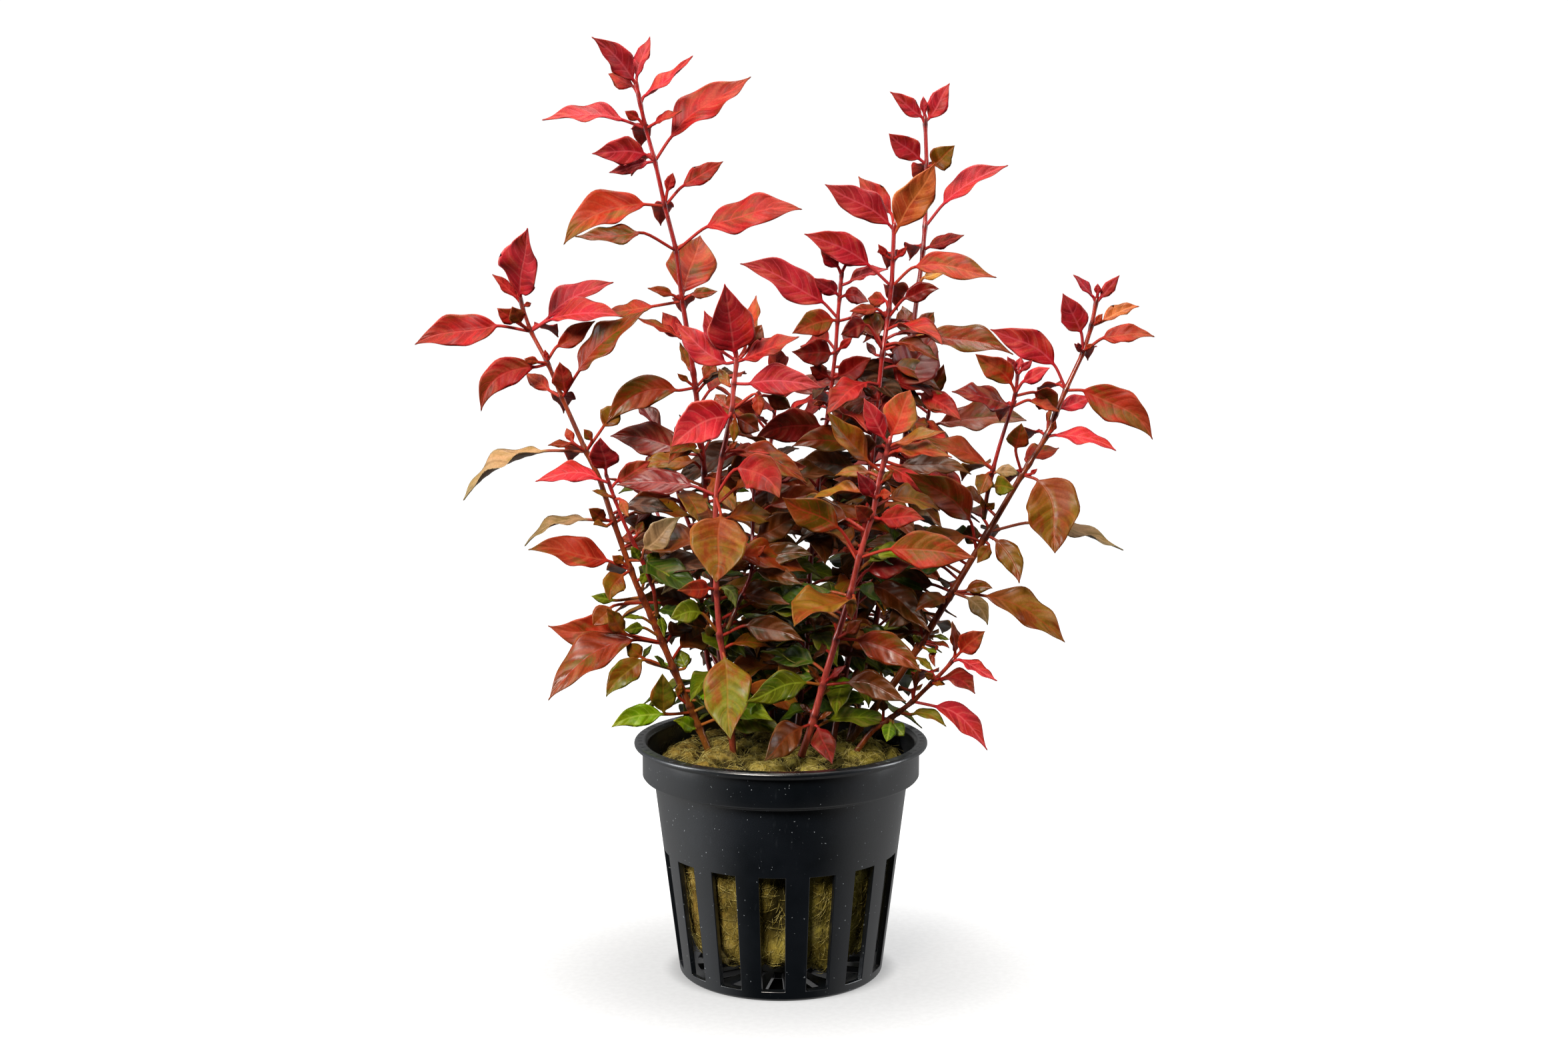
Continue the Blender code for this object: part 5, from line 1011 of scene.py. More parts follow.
stemLook = {
    "slim": 0.8, "sides": 10, "step": 0.7, "fineStep": 0.4, "round": 1.3, "swelling": 0.32,
    "swellingReach": 0.7, "rootedBelow": 50, "socket": 5.0,
    "foot": "#4c4014", "joint": "#2c0808", "jointDark": 0.8,
    "stops": (0, 0.08, 0.3, 0.7, 1),  # shares of the height: the foot, low bark, high bark twice, and the top
}
barks = {  # low on the stem, high on it and at its top
    "crimson": ("#602410", "#8c1c18", "#a42424"), "rosy": ("#8c3c28", "#a84038", "#b44440"),
    "brown": ("#6c3c14", "#7c3414", "#982818"),
}
barkOf = {  # crimson where a shoot isn't named
    "front_left": "rosy", "front_right": "rosy", "left": "brown", "right": "brown", "low_right": "brown",
}


def stemPath(shoot):
    look, line = stemLook, [at(x, z, y) for x, z, y in shoot["line"]]
    if shoot["line"][0][1] < look["rootedBelow"]:  # it stands in the wool
        down = (line[0] - line[1]).normalized() + Vector((0, 0, -1))
        line.insert(0, line[0] + down.normalized() * look["socket"])
    fine = []
    for first, second in zip(line, line[1:]):
        count = max(int((second - first).length / look["fineStep"]), 1)
        fine += [first.lerp(second, number / count) for number in range(count)]
    fine = np.array(fine + [line[-1]])
    most, smooth = int(look["round"] / look["fineStep"]), []
    for number in range(len(fine)):  # the bends are rounded, and both ends stay
        reach = min(most, number, len(fine) - 1 - number)
        smooth.append(fine[number - reach : number + reach + 1].mean(0))
    smooth = np.array(smooth)
    lengths = np.concatenate([[0], np.cumsum(np.linalg.norm(np.diff(smooth, axis=0), axis=1))])
    stops = np.linspace(0, lengths[-1], int(lengths[-1] / look["step"]) + 1)
    return np.stack([np.interp(stops, lengths, smooth[:, axis]) for axis in range(3)], 1)


def addStem(shape, shoot, bark, joints):
    look, path = stemLook, stemPath(shoot)
    foot, top = shoot["radius"]
    share = np.linspace(0, 1, len(path))
    swell = np.zeros(len(path))
    if joints:
        near = np.min(np.linalg.norm(path[:, None] - np.array(joints)[None], axis=2), axis=1)
        swell = np.exp(-((near / look["swellingReach"]) ** 2))
    radii = (foot + (top - foot) * share) * look["slim"] * (1 + look["swelling"] * swell)
    radii[-1] *= 0.5
    ways = unit(np.gradient(path, axis=0))
    sides = unit(np.cross([0, 1, 0], ways))
    ups = np.cross(ways, sides)
    angles = math.tau * np.arange(look["sides"]) / look["sides"]
    ring = sides[:, None] * np.cos(angles)[None, :, None] - ups[:, None] * np.sin(angles)[None, :, None]
    points = (path[:, None] + ring * radii[:, None, None]).reshape(-1, 3)
    low, high, tip = barks[bark]
    tints = np.array([paint(code) for code in (look["foot"], low, high, high, tip)])
    colour = np.stack([np.interp(share, look["stops"], tints[:, channel]) for channel in range(4)], 1)
    dark = look["jointDark"] * swell[:, None] ** 3
    colour = colour * (1 - dark) + np.array(paint(look["joint"])) * dark
    colour[:, 3] = 1
    rows = np.repeat(colour, look["sides"], axis=0)
    blank = np.zeros((len(points), 3))
    shape.add(
        points, tubeFaces(len(path), look["sides"]), stemFinish, tint=rows, patchTint=rows, veinTint=rows,
        edgeTint=rows, leafPlace=blank, leafShare=blank,
    )


plantLook = {  # how strongly each shows
    "patches": 0.8, "bands": 0.55, "mottle": 0.15, "net": 0.22, "veins": 0.42, "midrib": 0.65, "edge": 0.55,
    "veinBump": 0.3, "bandBump": 0.5, "grainBump": 0.01,
}


def leafWires(shop, roughness):
    look, fading = plantLook, (1.0, 0.0)
    lay = shop.attribute("leafPlace", "Vector")
    across, chance = shop.parts(lay)[1:]
    u, v, vein = shop.parts(shop.attribute("leafShare", "Vector"))
    stretched = shop.add("ShaderNodeVectorMath", {"operation": "MULTIPLY"}, {0: lay, 1: (0.15, 0.3, 1.0)})
    patches = shop.noiseAt(stretched, 1.0, 4, 0.6)
    laid = shop.add("ShaderNodeCombineXYZ", None, {"X": vein * 1.15, "Y": across * 0.16, "Z": chance})
    bands = shop.noiseAt(laid, 1.0, 1.5, 0.5)
    wobble = shop.noiseAt(lay, 0.5, 2, 0.5) - 0.5
    blade = u.within(0.02, 0.12)
    inside = v.size().within(0.75, 1.0, fading)
    ripple = ((vein + wobble * 0.5) * math.tau).cosine()
    veins = ripple.within(0.86, 1.0) * blade * inside
    midrib = (across.size() + wobble * 0.1).within(0.05, 0.26, fading) * u.within(0.78, 1.0, fading) * blade
    edge = v.size().within(0.92, 0.99) * blade
    fine = shop.noise(1300, 2, 0.5)
    cells = shop.add("ShaderNodeTexVoronoi", {"feature": "DISTANCE_TO_EDGE"}, {"Vector": lay, "Scale": 1.5})
    net = cells.within(0.02, 0.16, fading)
    tint = shop.attribute("tint")
    tint = shop.mix(patches.within(0.46, 0.62) * look["patches"] * blade, tint, shop.attribute("patchTint"))
    darker = shop.mix(1.0, tint, (0.42, 0.38, 0.36, 1), "MULTIPLY")
    lighter = shop.mix(0.14, tint, (0.95, 0.4, 0.2, 1))
    tint = shop.mix(bands.within(0.5, 0.36) * look["bands"] * blade, tint, darker)
    tint = shop.mix(bands.within(0.54, 0.68) * look["bands"] * blade, tint, lighter)
    tint = shop.mix(fine.within(0.5, 0.72) * look["mottle"], tint, lighter)
    tint = shop.mix(net * look["net"] * blade, tint, darker)
    tint = shop.mix(veins * look["veins"], tint, shop.attribute("veinTint"))
    tint = shop.mix(midrib * look["midrib"], tint, shop.attribute("veinTint"))
    # The edge line: the margin's own colour, made paler as a painted highlight along the rim.
    tint = shop.mix(edge * look["edge"], tint, shop.attribute("edgeTint"))
    height = (ripple * -0.4 * blade * inside - midrib * 0.8) * look["veinBump"]
    height = height + bands * look["bandBump"] + fine * look["grainBump"]
    rough = bands.within(0.3, 0.7, roughness)
    return {"Base Color": tint, "Roughness": rough, "Normal": shop.bump(height, 0.5, 0.3)}


def stemWires(shop):
    streaks = shop.noise(900, 3, 0.6, (1, 1, 0.12))
    specks = shop.noise(2200, 2)
    tint = shop.attribute("tint")
    darker = shop.mix(1.0, tint, (0.55, 0.4, 0.35, 1), "MULTIPLY")
    lighter = shop.mix(0.35, tint, paint("#c0603c"))
    tint = shop.mix(streaks.within(0.45, 0.62), tint, darker)
    tint = shop.mix(specks.within(0.58, 0.72) * 0.7, tint, lighter)
    rough = streaks.within(0.3, 0.7, (0.24, 0.36))
    normal = shop.bump(streaks * 0.8 + specks * 0.2, 0.5, 0.12)
    return {"Base Color": tint, "Roughness": rough, "Normal": normal}


leafSheen = {  # the specular level and the span of roughness, in the order of the finishes' numbers
    "leafRed": (0.15, (0.42, 0.6)),
    "leafDark": (0.26, (0.28, 0.48)),
    "leafGreen": (0.2, (0.3, 0.48)),
}
plantFinishes = [
    finishOf(name, partial(leafWires, roughness=roughness), {"Specular IOR Level": sheen})
    for name, (sheen, roughness) in leafSheen.items()
]
plantFinishes.append(finishOf("stemSkin", stemWires, {"Specular IOR Level": 0.55}))


def makePlant():
    small = thicketLeaves()
    for node, leaves in placeLeaves().items():
        if node in ("net_pot", "rockwool"):
            continue
        rng = random.Random(node)
        shape = Shape()
        stem = node.endswith("_stem")
        if stem:
            name = node[: -len("_stem")]
            joints = [blade.start for blade, tone in leaves]
            addStem(shape, shoots[name], barkOf.get(name, "crimson"), joints)
        for blade, tone in leaves + small.get(node, []):
            addLeaf(shape, blade, tone, rng)
        piece = shape.build(f"live_{node}", plantFinishes)
        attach(piece, "root")
        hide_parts(node)
    print("plant made")


potSize = {
    "rimRadius": 27.0, "rimHeight": 43.7, "rimInner": 25.1, "rimThickness": 1.0, "collarRadius": 25.5,
    "collarBottom": 36.8, "neckRadius": 23.35, "baseRadius": 18.8, "wall": 1.0, "base": 1.2, "slots": 15,
    "slotSpan": 12.5, "firstSlot": -94, "slotBottom": 1.9, "slotTop": 23.5, "midWall": 30.0, "disc": 7.0,
    "baseSlotEnd": 15.5, "turns": 4, "edge": 0.16, "edgeFrom": 38,
}


def potProfile():
    # The stations up the wall: the outer point and the inner one, each as radius and height.
    s = potSize
    wall, base, foot, neck = s["wall"], s["base"], s["baseRadius"], s["neckRadius"]
    collar, ledge, rim, top = s["collarRadius"], s["collarBottom"], s["rimRadius"], s["rimHeight"]
    inner, low, bend = collar - wall, top - s["rimThickness"], ledge - 0.6

    def wallAt(height):
        return foot + (neck - foot) * height / bend

    stations = [((radius, 0), (radius, base)) for radius in (0, s["disc"], s["baseSlotEnd"])]
    stations += [((foot - 0.5, 0), (foot - wall - 0.4, base))]
    stations += [((wallAt(0.5), 0.5), (wallAt(0.5) - wall, base + 0.15))]
    for height in (s["slotBottom"], s["slotTop"], s["midWall"]):
        stations.append(((wallAt(height), height), (wallAt(height) - wall, height)))
    return stations + [  # the ledge below the collar, the collar, and the rim, with their edges softened
        ((neck, bend), (neck - wall, ledge + 0.4)),
        ((neck + 0.5, ledge - 0.2), (inner - 1.2, ledge + 0.8)),
        ((collar - 0.3, ledge + 0.1), (inner - 0.2, ledge + 1.2)),
        ((collar, ledge + 0.5), (inner, ledge + 1.8)),
        ((collar, low - 0.5), (inner, low - 0.3)),
        ((collar + 0.3, low - 0.15), (inner, low)),
        ((rim - 0.2, low + 0.05), (inner, low + 0.2)),
        ((rim, low + 0.25), (inner + 0.05, low + 0.4)),
        ((rim, top - 0.3), (s["rimInner"] - 0.35, top - 0.4)),
        ((rim - 0.3, top), (s["rimInner"], top)),
    ]


def potShell():
    # The wall in cells round the axis and along its profile, with the slots left out.
    s, profile = potSize, potProfile()
    around = s["slots"] * 2 * s["turns"]
    pitch, span = math.tau / s["slots"], math.radians(s["slotSpan"])
    angles, inSlot = [], []
    for slot in range(s["slots"]):
        start = math.radians(s["firstSlot"]) + slot * pitch - span / 2
        for begin, width, hollow in ((start, span, True), (start + span, pitch - span, False)):
            angles += [begin + width * part / s["turns"] for part in range(s["turns"])]
            inSlot += [hollow] * s["turns"]
    heights = [outer[1] for outer, inner in profile]
    openBands = {1, heights.index(s["slotBottom"])}

    def solid(sector, band):
        return 0 <= band < len(profile) - 1 and not (inSlot[sector % around] and band in openBands)

    points, index, faces = [], {}, []

    def corner(sector, station, inner):
        radius, height = profile[station][inner]
        key = (sector % around if radius else 0, station, inner)
        if key not in index:
            index[key] = len(points)
            angle = angles[sector % around]
            points.append((radius * math.cos(angle), radius * math.sin(angle), height))
        return index[key]

    def face(*corners):
        faces.append(tuple(dict.fromkeys(corner(*place) for place in corners)))

    for sector in range(around):
        for band in range(len(profile) - 1):
            if not solid(sector, band):
                continue
            left, right, low, high = sector, sector + 1, band, band + 1
            face((left, low, 0), (right, low, 0), (right, high, 0), (left, high, 0))
            face((left, low, 1), (left, high, 1), (right, high, 1), (right, low, 1))
            for edge, beyond in ((low, band - 1), (high, band + 1)):
                if beyond >= 0 and not solid(sector, beyond):
                    face((left, edge, 0), (right, edge, 0), (right, edge, 1), (left, edge, 1))
            for edge, beyond in ((left, sector - 1), (right, sector + 1)):
                if not solid(beyond, band):
                    face((edge, low, 0), (edge, high, 0), (edge, high, 1), (edge, low, 1))
    return points, faces


potLook = {
    "deep": "#03070c", "haze": "#070d15", "scuff": "#262c34", "paleSpeck": "#a8b0b8", "scuffs": 0.3, "specks": 0.7,
    "roughness": (0.26, 0.36), "scuffRoughness": 0.12, "specular": 0.9, "coat": 0.6, "coatRoughness": 0.22,
}


def potWires(shop):
    look = potLook
    grain = shop.noise(3200, 4, 0.6)
    haze = shop.noise(60, 4, 0.6)
    scuffs = shop.noise(500, 3, 0.7, (1, 1, 0.25)).within(0.62, 0.78)
    specks = shop.noise(2300, 1, 0.3).within(0.76, 0.8)  # pale specks
    tint = shop.mix(haze.within(0.35, 0.7), paint(look["deep"]), paint(look["haze"]))
    tint = shop.mix(scuffs * look["scuffs"], tint, paint(look["scuff"]))
    tint = shop.mix(specks * look["specks"], tint, paint(look["paleSpeck"]))
    rough = haze.within(0.3, 0.7, look["roughness"]) + scuffs * look["scuffRoughness"]
    normal = shop.bump(grain, 0.25, 0.05, shop.bump(haze, 0.2, 0.4))
    return {"Base Color": tint, "Roughness": rough, "Normal": normal}


potFinish = finishOf("potPlastic", potWires, {
    "Specular IOR Level": potLook["specular"], "Coat Weight": potLook["coat"],
    "Coat Roughness": potLook["coatRoughness"],
})


def plainMesh(piece):  # applies what modifiers the piece has
    made = bpy.data.meshes.new_from_object(piece.evaluated_get(bpy.context.evaluated_depsgraph_get()))
    piece.modifiers.clear()
    piece.data = made


def facedOut(piece):
    work = bmesh.new()
    work.from_mesh(piece.data)
    bmesh.ops.recalc_face_normals(work, faces=work.faces[:])
    work.to_mesh(piece.data)
    work.free()


def makePot():
    shape = Shape()
    shape.add(*potShell())
    pot = shape.build("moulded_pot", [potFinish])
    facedOut(pot)
    bevel = pot.modifiers.new("softEdges", "BEVEL")
    bevel.width, bevel.segments, bevel.limit_method = potSize["edge"] * mm, 2, "ANGLE"
    bevel.angle_limit = math.radians(potSize["edgeFrom"])
    bevel.use_clamp_overlap = True
    bevel.harden_normals = True
    plainMesh(pot)
    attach(pot, "root")
    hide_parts("net_pot")
    print("pot made")


def nodeTree(name, sizes, wire):
    # A tree with named inputs for its sizes, ending in Realize Instances and Set Material.
    tree = bpy.data.node_groups.new(name, "GeometryNodeTree")
    tree.interface.new_socket("Geometry", in_out="INPUT", socket_type="NodeSocketGeometry")
    for label, value in sizes.items():
        kind = "NodeSocketInt" if isinstance(value, int) else "NodeSocketFloat"
        tree.interface.new_socket(label, in_out="INPUT", socket_type=kind)
    tree.interface.new_socket("Geometry", in_out="OUTPUT", socket_type="NodeSocketGeometry")
    shop = Shop(tree)
    given = tree.nodes.new("NodeGroupInput")
    inputs = {socket.name: Link(shop, socket) for socket in given.outputs if socket.name}
    made, finish = wire(shop, inputs)
    made = shop.add("GeometryNodeRealizeInstances", None, {"Geometry": made})
    made = shop.add("GeometryNodeSetMaterial", None, {"Geometry": made, "Material": finish})
    shop.add("NodeGroupOutput", None, {0: made})
    return tree


def grow(piece, tree, sizes):
    modifier = piece.modifiers.new(tree.name, "NODES")
    modifier.node_group = tree
    for socket in tree.interface.items_tree:
        if socket.in_out == "INPUT" and socket.name in sizes:
            modifier[socket.identifier] = sizes[socket.name]
    plainMesh(piece)


tickSize = {
    "Count": 66, "Radius": 25.95 * mm, "Height": 43.7 * mm,
    "Length": 0.8 * mm, "Width": 0.3 * mm, "Depth": 0.035 * mm,
}


def tickWires(shop, size):
    circle = {"Resolution": size["Count"], "Radius": size["Radius"]}
    ring = shop.add("GeometryNodeCurvePrimitiveCircle", None, circle)
    height = shop.add("ShaderNodeCombineXYZ", None, {"Z": size["Height"]})
    ring = shop.add("GeometryNodeTransform", None, {"Geometry": ring, "Translation": height})
    sides = {"X": size["Length"], "Y": size["Depth"] * 2, "Z": size["Width"]}
    block = shop.add("GeometryNodeMeshCube", None, {"Size": shop.add("ShaderNodeCombineXYZ", None, sides)})
    points = shop.add("GeometryNodeCurveToPoints", {"mode": "EVALUATED"}, {"Curve": ring})
    turns = Link(shop, points.socket.node.outputs["Rotation"])
    ticks = {"Points": points, "Instance": block, "Rotation": turns}
    return shop.add("GeometryNodeInstanceOnPoints", None, ticks), potFinish


def makeTicks():
    host = Shape()
    host.add([(0, 0, 0), (1, 0, 0), (0, 1, 0)], [(0, 1, 2)])  # the tree puts the ticks in its place
    ticks = host.build("rim_ticks", [potFinish])
    grow(ticks, nodeTree("rimTicks", tickSize, tickWires), tickSize)
    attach(ticks, "root")
    print("ticks made on the rim:", tickSize["Count"])


woolSize = {
    "around": 220, "profile": 104, "folds": 0.7, "foldGain": 1.4, "foldPitch": 4.2, "lumpPitch": 0.3,
    "finePitch": 1.3, "tuft": 6.4, "tuftRise": 2.2, "rough": 0.4,
    "crease": 2.2, "creaseWidth": 5.5, "creaseAt": 1.5 * math.pi,
    # Where the folded wall starts and ends, where the tufts on top start, and where the lumpy underside ends:
    # a height, and how far on the change is complete.
    "wallFrom": (8, 6), "wallTo": (40.5, -3), "tuftsFrom": (38.8, 2.0), "undersideTo": (9, -3),
    "rings": ((0, 6.1), (9, 5.6), (14.8, 5.3), (16.2, 6.2), (17.3, 8.6), (19.1, 19), (20.9, 32), (22.1, 37.6),
              (22.2, 39.2), (21.2, 40.6), (18.0, 41.0), (12.5, 41.3), (5, 41.3), (0, 41.3)),
}


def ramp(value, start, span):  # 0 at the start and 1 a span further on
    return min(max((value - start) / span, 0), 1)


def woolShell():
    # The points, the faces and, for each point, how deep it lies in a fold or between two tufts, which the
    # finish darkens as painted shade.
    s = woolSize
    rings = np.array(s["rings"], float)
    lengths = np.concatenate([[0], np.cumsum(np.linalg.norm(np.diff(rings, axis=0), axis=1))])
    stops = np.linspace(0, lengths[-1], s["profile"])[1:-1]
    radii, heights = np.interp(stops, lengths, rings[:, 0]), np.interp(stops, lengths, rings[:, 1])
    points, depths = [(0, 0, s["rings"][0][1])], [0.0]
    folds, lumps, fines = s["foldPitch"], s["lumpPitch"], s["finePitch"]
    for radius, height in zip(radii, heights):
        wall = ramp(height, *s["wallFrom"]) * ramp(height, *s["wallTo"])
        top, underside = ramp(height, *s["tuftsFrom"]), ramp(height, *s["undersideTo"])
        for number in range(s["around"]):
            angle = math.tau * number / s["around"]
            x, y = math.cos(angle), math.sin(angle)
            fold = abs(noise.noise((x * folds, y * folds, height * 0.035 + 5))) * 1.5
            aside = (angle - s["creaseAt"]) * radius / s["creaseWidth"] * 2 + math.sin(height * 0.2) * 0.4
            crease = math.exp(-(aside**2))
            lump = noise.fractal((x * radius * lumps, y * radius * lumps, height * lumps), 0.9, 2.1, 3)
            fine = noise.fractal((x * radius * fines, y * radius * fines, height * 0.9 + 9), 0.8, 2.2, 2)
            spot = (x * radius / s["tuft"] + lump * 0.2, y * radius / s["tuft"] + 0.3, 0.5)
            nearest = noise.voronoi(spot)[0]
            tuft = min((nearest[1] - nearest[0]) * 2.2, 1) ** 0.55
            folded = (0.35 - fold) * s["folds"] * s["foldGain"]
            out = radius + (folded + lump * 0.4 - crease * s["crease"]) * wall
            out += fine * s["rough"] * (0.4 + 0.6 * wall)
            up = height + ((tuft - 0.65) * s["tuftRise"] + lump * 0.8 + fine * s["rough"] * 1.3) * top
            up += (lump * 1.6 + fine * 1.4) * underside
            points.append((out * x, out * y, up))
            # How strongly the painted shade darkens this point.
            depths.append(max((1 - tuft) * top * 1.2, (max(fold - 0.35, 0) * 1.2 + crease * 0.9) * wall))
    points.append((0, 0, s["rings"][-1][1]))
    depths.append(0.3)
    around, last = s["around"], len(points) - 1
    faces = [(0, 1 + (n + 1) % around, 1 + n) for n in range(around)]
    for ring in range(len(radii) - 1):
        first = 1 + ring * around
        for n in range(around):
            m = (n + 1) % around
            faces.append((first + n, first + m, first + around + m, first + around + n))
    faces += [(last, last - around + n, last - around + (n + 1) % around) for n in range(around)]
    return points, faces, depths


def stopsOf(*stops):  # a ramp's stops, from (place, code)
    return tuple((place, paint(code)) for place, code in stops)


woolLook = {
    "stops": stopsOf((0.3, "#5c4e18"), (0.45, "#84732e"), (0.58, "#9c8e40"), (0.72, "#b4a468")),
    "warm": "#6c4820", "green": "#5e5c10", "gap": "#231c05",
    "fibreAndSheen": "#b8a868", "speckAndSheen": "#cbbc80", "deep": "#0c0a02",
    "strandStops": stopsOf((0.35, "#5c5018"), (0.48, "#94843c"), (0.58, "#b8aa68"), (0.68, "#7c7020")),
}


def woolWires(shop):
    look = woolLook
    x = shop.parts(shop.add("ShaderNodeTexCoord", out="Object"))[0]
    depth = shop.parts(shop.attribute("woolShadeDepth", "Vector"))[0]
    broad = shop.noise(150, 3, 0.6)
    strands = shop.noise(700, 4, 0.7, (1, 1, 0.25))
    specks = shop.noise(2600, 3, 0.7)
    warm = (x * -40 + broad - 0.5).within(0.0, 0.6)  # browner to the left and greener to the right
    green = (x * 30 + strands - 0.5).within(0.0, 0.6)
    deep = (depth + (strands - 0.5) * 0.5).within(0.15, 0.75)
    tint = shop.add("ShaderNodeValToRGB", {"ramp": look["stops"]}, {0: broad})
    tint = shop.mix(warm * 0.45, tint, paint(look["warm"]))
    tint = shop.mix(green * 0.45, tint, paint(look["green"]))
    # Painted shade in the dark gaps between the strands.
    tint = shop.mix(strands.within(0.36, 0.52, (1.0, 0.0)) * 0.75, tint, paint(look["gap"]))
    # Pale fibres and specks: the fibres' own pale colour, brightened as painted highlight.
    tint = shop.mix(strands.within(0.56, 0.7) * 0.4, tint, paint(look["fibreAndSheen"]))
    tint = shop.mix(specks.within(0.58, 0.72) * 0.35, tint, paint(look["speckAndSheen"]))
    # Painted shade: near black in the folds, in the crease and between the tufts on top.
    tint = shop.mix(deep * 0.9, tint, paint(look["deep"]))
    return {"Base Color": tint, "Normal": shop.bump(strands + specks * 0.4, 0.8, 0.5)}


def strandWires(shop):
    specks = shop.noise(700, 3, 0.6)
    tint = shop.add("ShaderNodeValToRGB", {"ramp": woolLook["strandStops"]}, {0: specks})
    return {"Base Color": tint, "Roughness": specks.within(0.3, 0.7, (0.5, 0.8))}


woolFinish = finishOf("rockwoolFibre", woolWires, {"Roughness": 0.95, "Specular IOR Level": 0.15})
strandFinish = finishOf("rockwoolStrand", strandWires, {"Specular IOR Level": 0.3})
strandSize = {"Count": 7000, "Length": 3.6 * mm, "Arch": 0.45 * mm, "Thickness": 0.04 * mm, "Seed": 4}
woolArea = 0.0068  # the square metres that the strands are scattered on


def scatterWires(shop, size):
    spots = {"Mesh": size["Geometry"], "Density": size["Count"] / woolArea, "Seed": size["Seed"]}
    scatter = shop.add("GeometryNodeDistributePointsOnFaces", None, spots)
    normal = Link(shop, scatter.socket.node.outputs["Normal"])
    bow = {"Resolution": 3}
    for label, share, rise in (("Start", -0.5, -0.6), ("Middle", 0.0, 2.0), ("End", 0.5, -0.2)):
        end = {"X": size["Length"] * share, "Z": size["Arch"] * rise}
        bow[label] = shop.add("ShaderNodeCombineXYZ", None, end)
    bow = shop.add("GeometryNodeCurveQuadraticBezier", None, bow)
    section = {"Resolution": 3, "Radius": size["Thickness"]}
    section = shop.add("GeometryNodeCurvePrimitiveCircle", None, section)
    tube = {"Curve": bow, "Profile Curve": section, "Fill Caps": True}
    strand = shop.add("GeometryNodeCurveToMesh", None, tube)
    out = shop.add("FunctionNodeAlignRotationToVector", {"axis": "Z"}, {"Vector": normal})
    span = {0: (-1, -1, -0.2), 1: (1, 1, 1.6), "Seed": size["Seed"]}
    lean = shop.add("FunctionNodeRandomValue", {"data_type": "FLOAT_VECTOR"}, span)
    about = {"axis": "X", "pivot_axis": "Z"}
    turns = shop.add("FunctionNodeAlignRotationToVector", about, {"Rotation": out, "Vector": lean})
    span = {2: 0.35, 3: 1.25, "Seed": size["Seed"] + 1}
    scale = shop.add("FunctionNodeRandomValue", {"data_type": "FLOAT"}, span, 1)
    spread = {"Points": scatter, "Instance": strand, "Rotation": turns, "Scale": scale}
    return shop.add("GeometryNodeInstanceOnPoints", None, spread), strandFinish


def makeWool():
    shape, (points, faces, depths) = Shape(), woolShell()
    shape.add(points, faces, woolShadeDepth=[(depth, 0, 0) for depth in depths])
    wool = shape.build("rockwool_plug", [woolFinish])
    facedOut(wool)
    strands = newObject("rockwool_strands", wool.data.copy())
    grow(strands, nodeTree("strands", strandSize, scatterWires), strandSize)
    for piece in (wool, strands):
        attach(piece, "root")
        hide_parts("rockwool")
    print("rockwool made,", len(strands.data.polygons), "strand faces")


studio = {
    "floor": 3.0, "floorTone": 0.15, "floorGlow": 1.06, "sky": 0.24, "front": 0.06, "below": 0.04,
    "backdrop": 1.05, "mirrored": 0.008, "leftSheen": 0.19, "rightSheen": 0.08,
    # The painted shadow in the floor's colour and glow, in metres: dark below the pot, a close ring, and an
    # oval by its two half widths.
    "under": (0.0165, 0.0185), "ring": (0.0188, 0.0225), "ringSquash": 1.14, "ringShade": 0.66,
    "oval": (0.055, 0.045), "ovalFade": (0.3, 1.6), "ovalShade": 0.58,
    # How far round the horizon the room's front and its two bright sides reach.
    "frontSpan": (-0.1, 0.75), "sideSpan": (0.45, 0.95),
}
warmLight, coolLight = (1.0, 0.93, 0.84), (0.94, 0.97, 1.0)
lamps = {  # place and aim in millimetres, width, height, power and colour
    "keyLamp": ((-190, -430, 430), (0, 0, 95), 200, 200, 5.4, warmLight),
    "topLamp": ((0, 60, 560), (0, 0, 90), 340, 260, 3.0, warmLight),
    "leftLamp": ((-520, -60, 200), (0, 0, 70), 200, 480, 2.3, coolLight),
    "rightLamp": ((540, 20, 200), (0, 0, 70), 160, 480, 1.6, coolLight),
}
lensSize = {"length": 46.25, "sensor": 36.0, "tilt": 82.85, "clip": (0.01, 20)}
white, grey, black = (1, 1, 1, 1), (studio["floorTone"],) * 3 + (1,), (0, 0, 0, 1)


def floorWires(shop):
    x, y = shop.parts(shop.add("ShaderNodeTexCoord", out="Object"))[:2]
    # The glowing floor's colour carries a painted shadow: black below the pot, a darker ring round its foot
    # and a wide soft oval.
    under = ((x * x + y * y) ** 0.5).within(*studio["under"])
    wide, deep = studio["oval"]
    oval = ((x / wide) ** 2.0 + (y / deep) ** 2.0) ** 0.5
    shade = oval.within(*studio["ovalFade"], (studio["ovalShade"], 1.0))
    ring = (x * x + (y * studio["ringSquash"]) ** 2.0) ** 0.5
    close = ring.within(*studio["ring"], (studio["ringShade"], 1.0))
    lit = shop.mix(under * shade * close, black, white)
    grain = shop.noise(900, 2).within(0.3, 0.7, (1.05, 1.1))
    grain = shop.mix(grain - 1.0, white, (2, 2, 2, 1))
    return {
        "Emission Color": shop.mix(1.0, lit, grain, "MULTIPLY"),
        "Base Color": shop.mix(1.0, lit, grey, "MULTIPLY"),
    }


def makeFloor():
    half = studio["floor"] / mm
    shape = Shape()
    shape.add([(-half, -half, 0), (half, -half, 0), (half, half, 0), (-half, half, 0)], [(0, 1, 2, 3)])
    constants = {"Roughness": 0.8, "Specular IOR Level": 0.1, "Emission Strength": studio["floorGlow"]}
    floor = shape.build("floor", [finishOf("floorPaper", floorWires, constants)])
    floor.visible_diffuse = floor.visible_glossy = False  # the paper throws no light back up at the plant


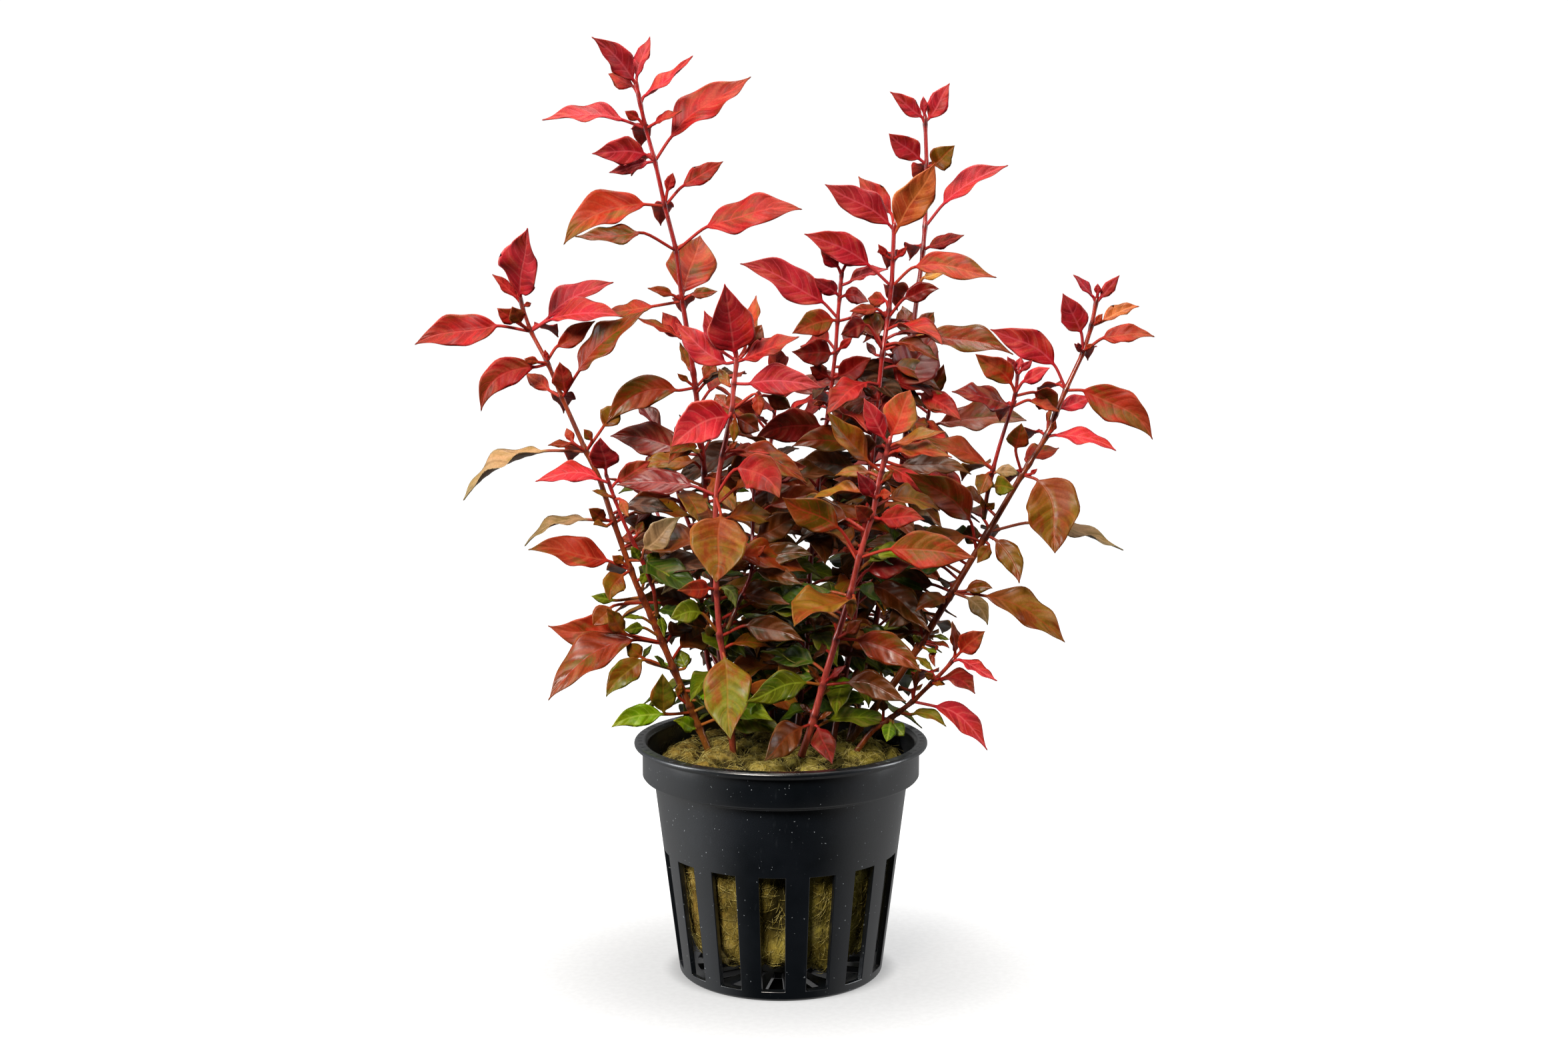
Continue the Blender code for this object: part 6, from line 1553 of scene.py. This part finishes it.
def makeWorld():
    world = bpy.data.worlds.new("studio")
    world.use_nodes = True
    bpy.context.scene.world = world
    world.node_tree.nodes.clear()
    shop = Shop(world.node_tree)
    seen = shop.add("ShaderNodeLightPath", None, None, "Is Camera Ray")
    glossy = shop.add("ShaderNodeLightPath", None, None, "Is Glossy Ray")
    x, y, z = shop.parts(shop.add("ShaderNodeTexCoord", out="Generated"))
    front, side = studio["frontSpan"], studio["sideSpan"]
    glow = (y * -1).within(*front, (studio["sky"], studio["front"]))
    glow = glow * z.within(-0.5, 0.1) + z.within(-0.5, 0.1, (studio["below"], 0.0))
    # What shiny pieces mirror: a dark room in front, and the bright floor to the left and the right.
    sheen = (x * -1).within(*side, (0.0, studio["leftSheen"])) + x.within(*side, (0.0, studio["rightSheen"]))
    mirrored = (y * -1).within(*front, (studio["sky"], studio["mirrored"]))
    mirrored = mirrored + sheen * z.within(-0.15, 0.1, (1.0, 0.0))
    glow = glow + (mirrored - glow) * glossy
    lit = shop.add("ShaderNodeBackground", None, {"Color": white, "Strength": glow})
    shown = shop.add("ShaderNodeBackground", None, {"Color": white, "Strength": studio["backdrop"]})
    both = shop.add("ShaderNodeMixShader", None, {0: seen, 1: lit, 2: shown})
    shop.add("ShaderNodeOutputWorld", None, {"Surface": both})


def makeLamps():
    for name, (place, aim, width, height, power, colour) in lamps.items():
        light = bpy.data.lights.new(name, "AREA")
        light.shape, light.size, light.size_y = "RECTANGLE", width * mm, height * mm
        light.energy, light.color = power, colour
        lamp = newObject(name, light)
        lamp.location = Vector(place) * mm
        lamp.rotation_euler = (Vector(aim) - Vector(place)).to_track_quat("-Z", "Y").to_euler()


def makeCamera():
    lens = bpy.data.cameras.new("view")
    lens.lens, lens.sensor_width = lensSize["length"], lensSize["sensor"]
    lens.clip_start, lens.clip_end = lensSize["clip"]
    camera = newObject("view", lens)
    camera.location = viewPoint * mm
    camera.rotation_euler = (math.radians(lensSize["tilt"]), 0, 0)
    bpy.context.scene.camera = camera
    bpy.context.scene.view_settings.view_transform = "Standard"


def makeStudio():
    makeFloor()
    makeWorld()
    makeLamps()
    makeCamera()
    print("studio made, lamps:", len(lamps))


makeStudio()
makePot()
makeTicks()
makeWool()
makePlant()
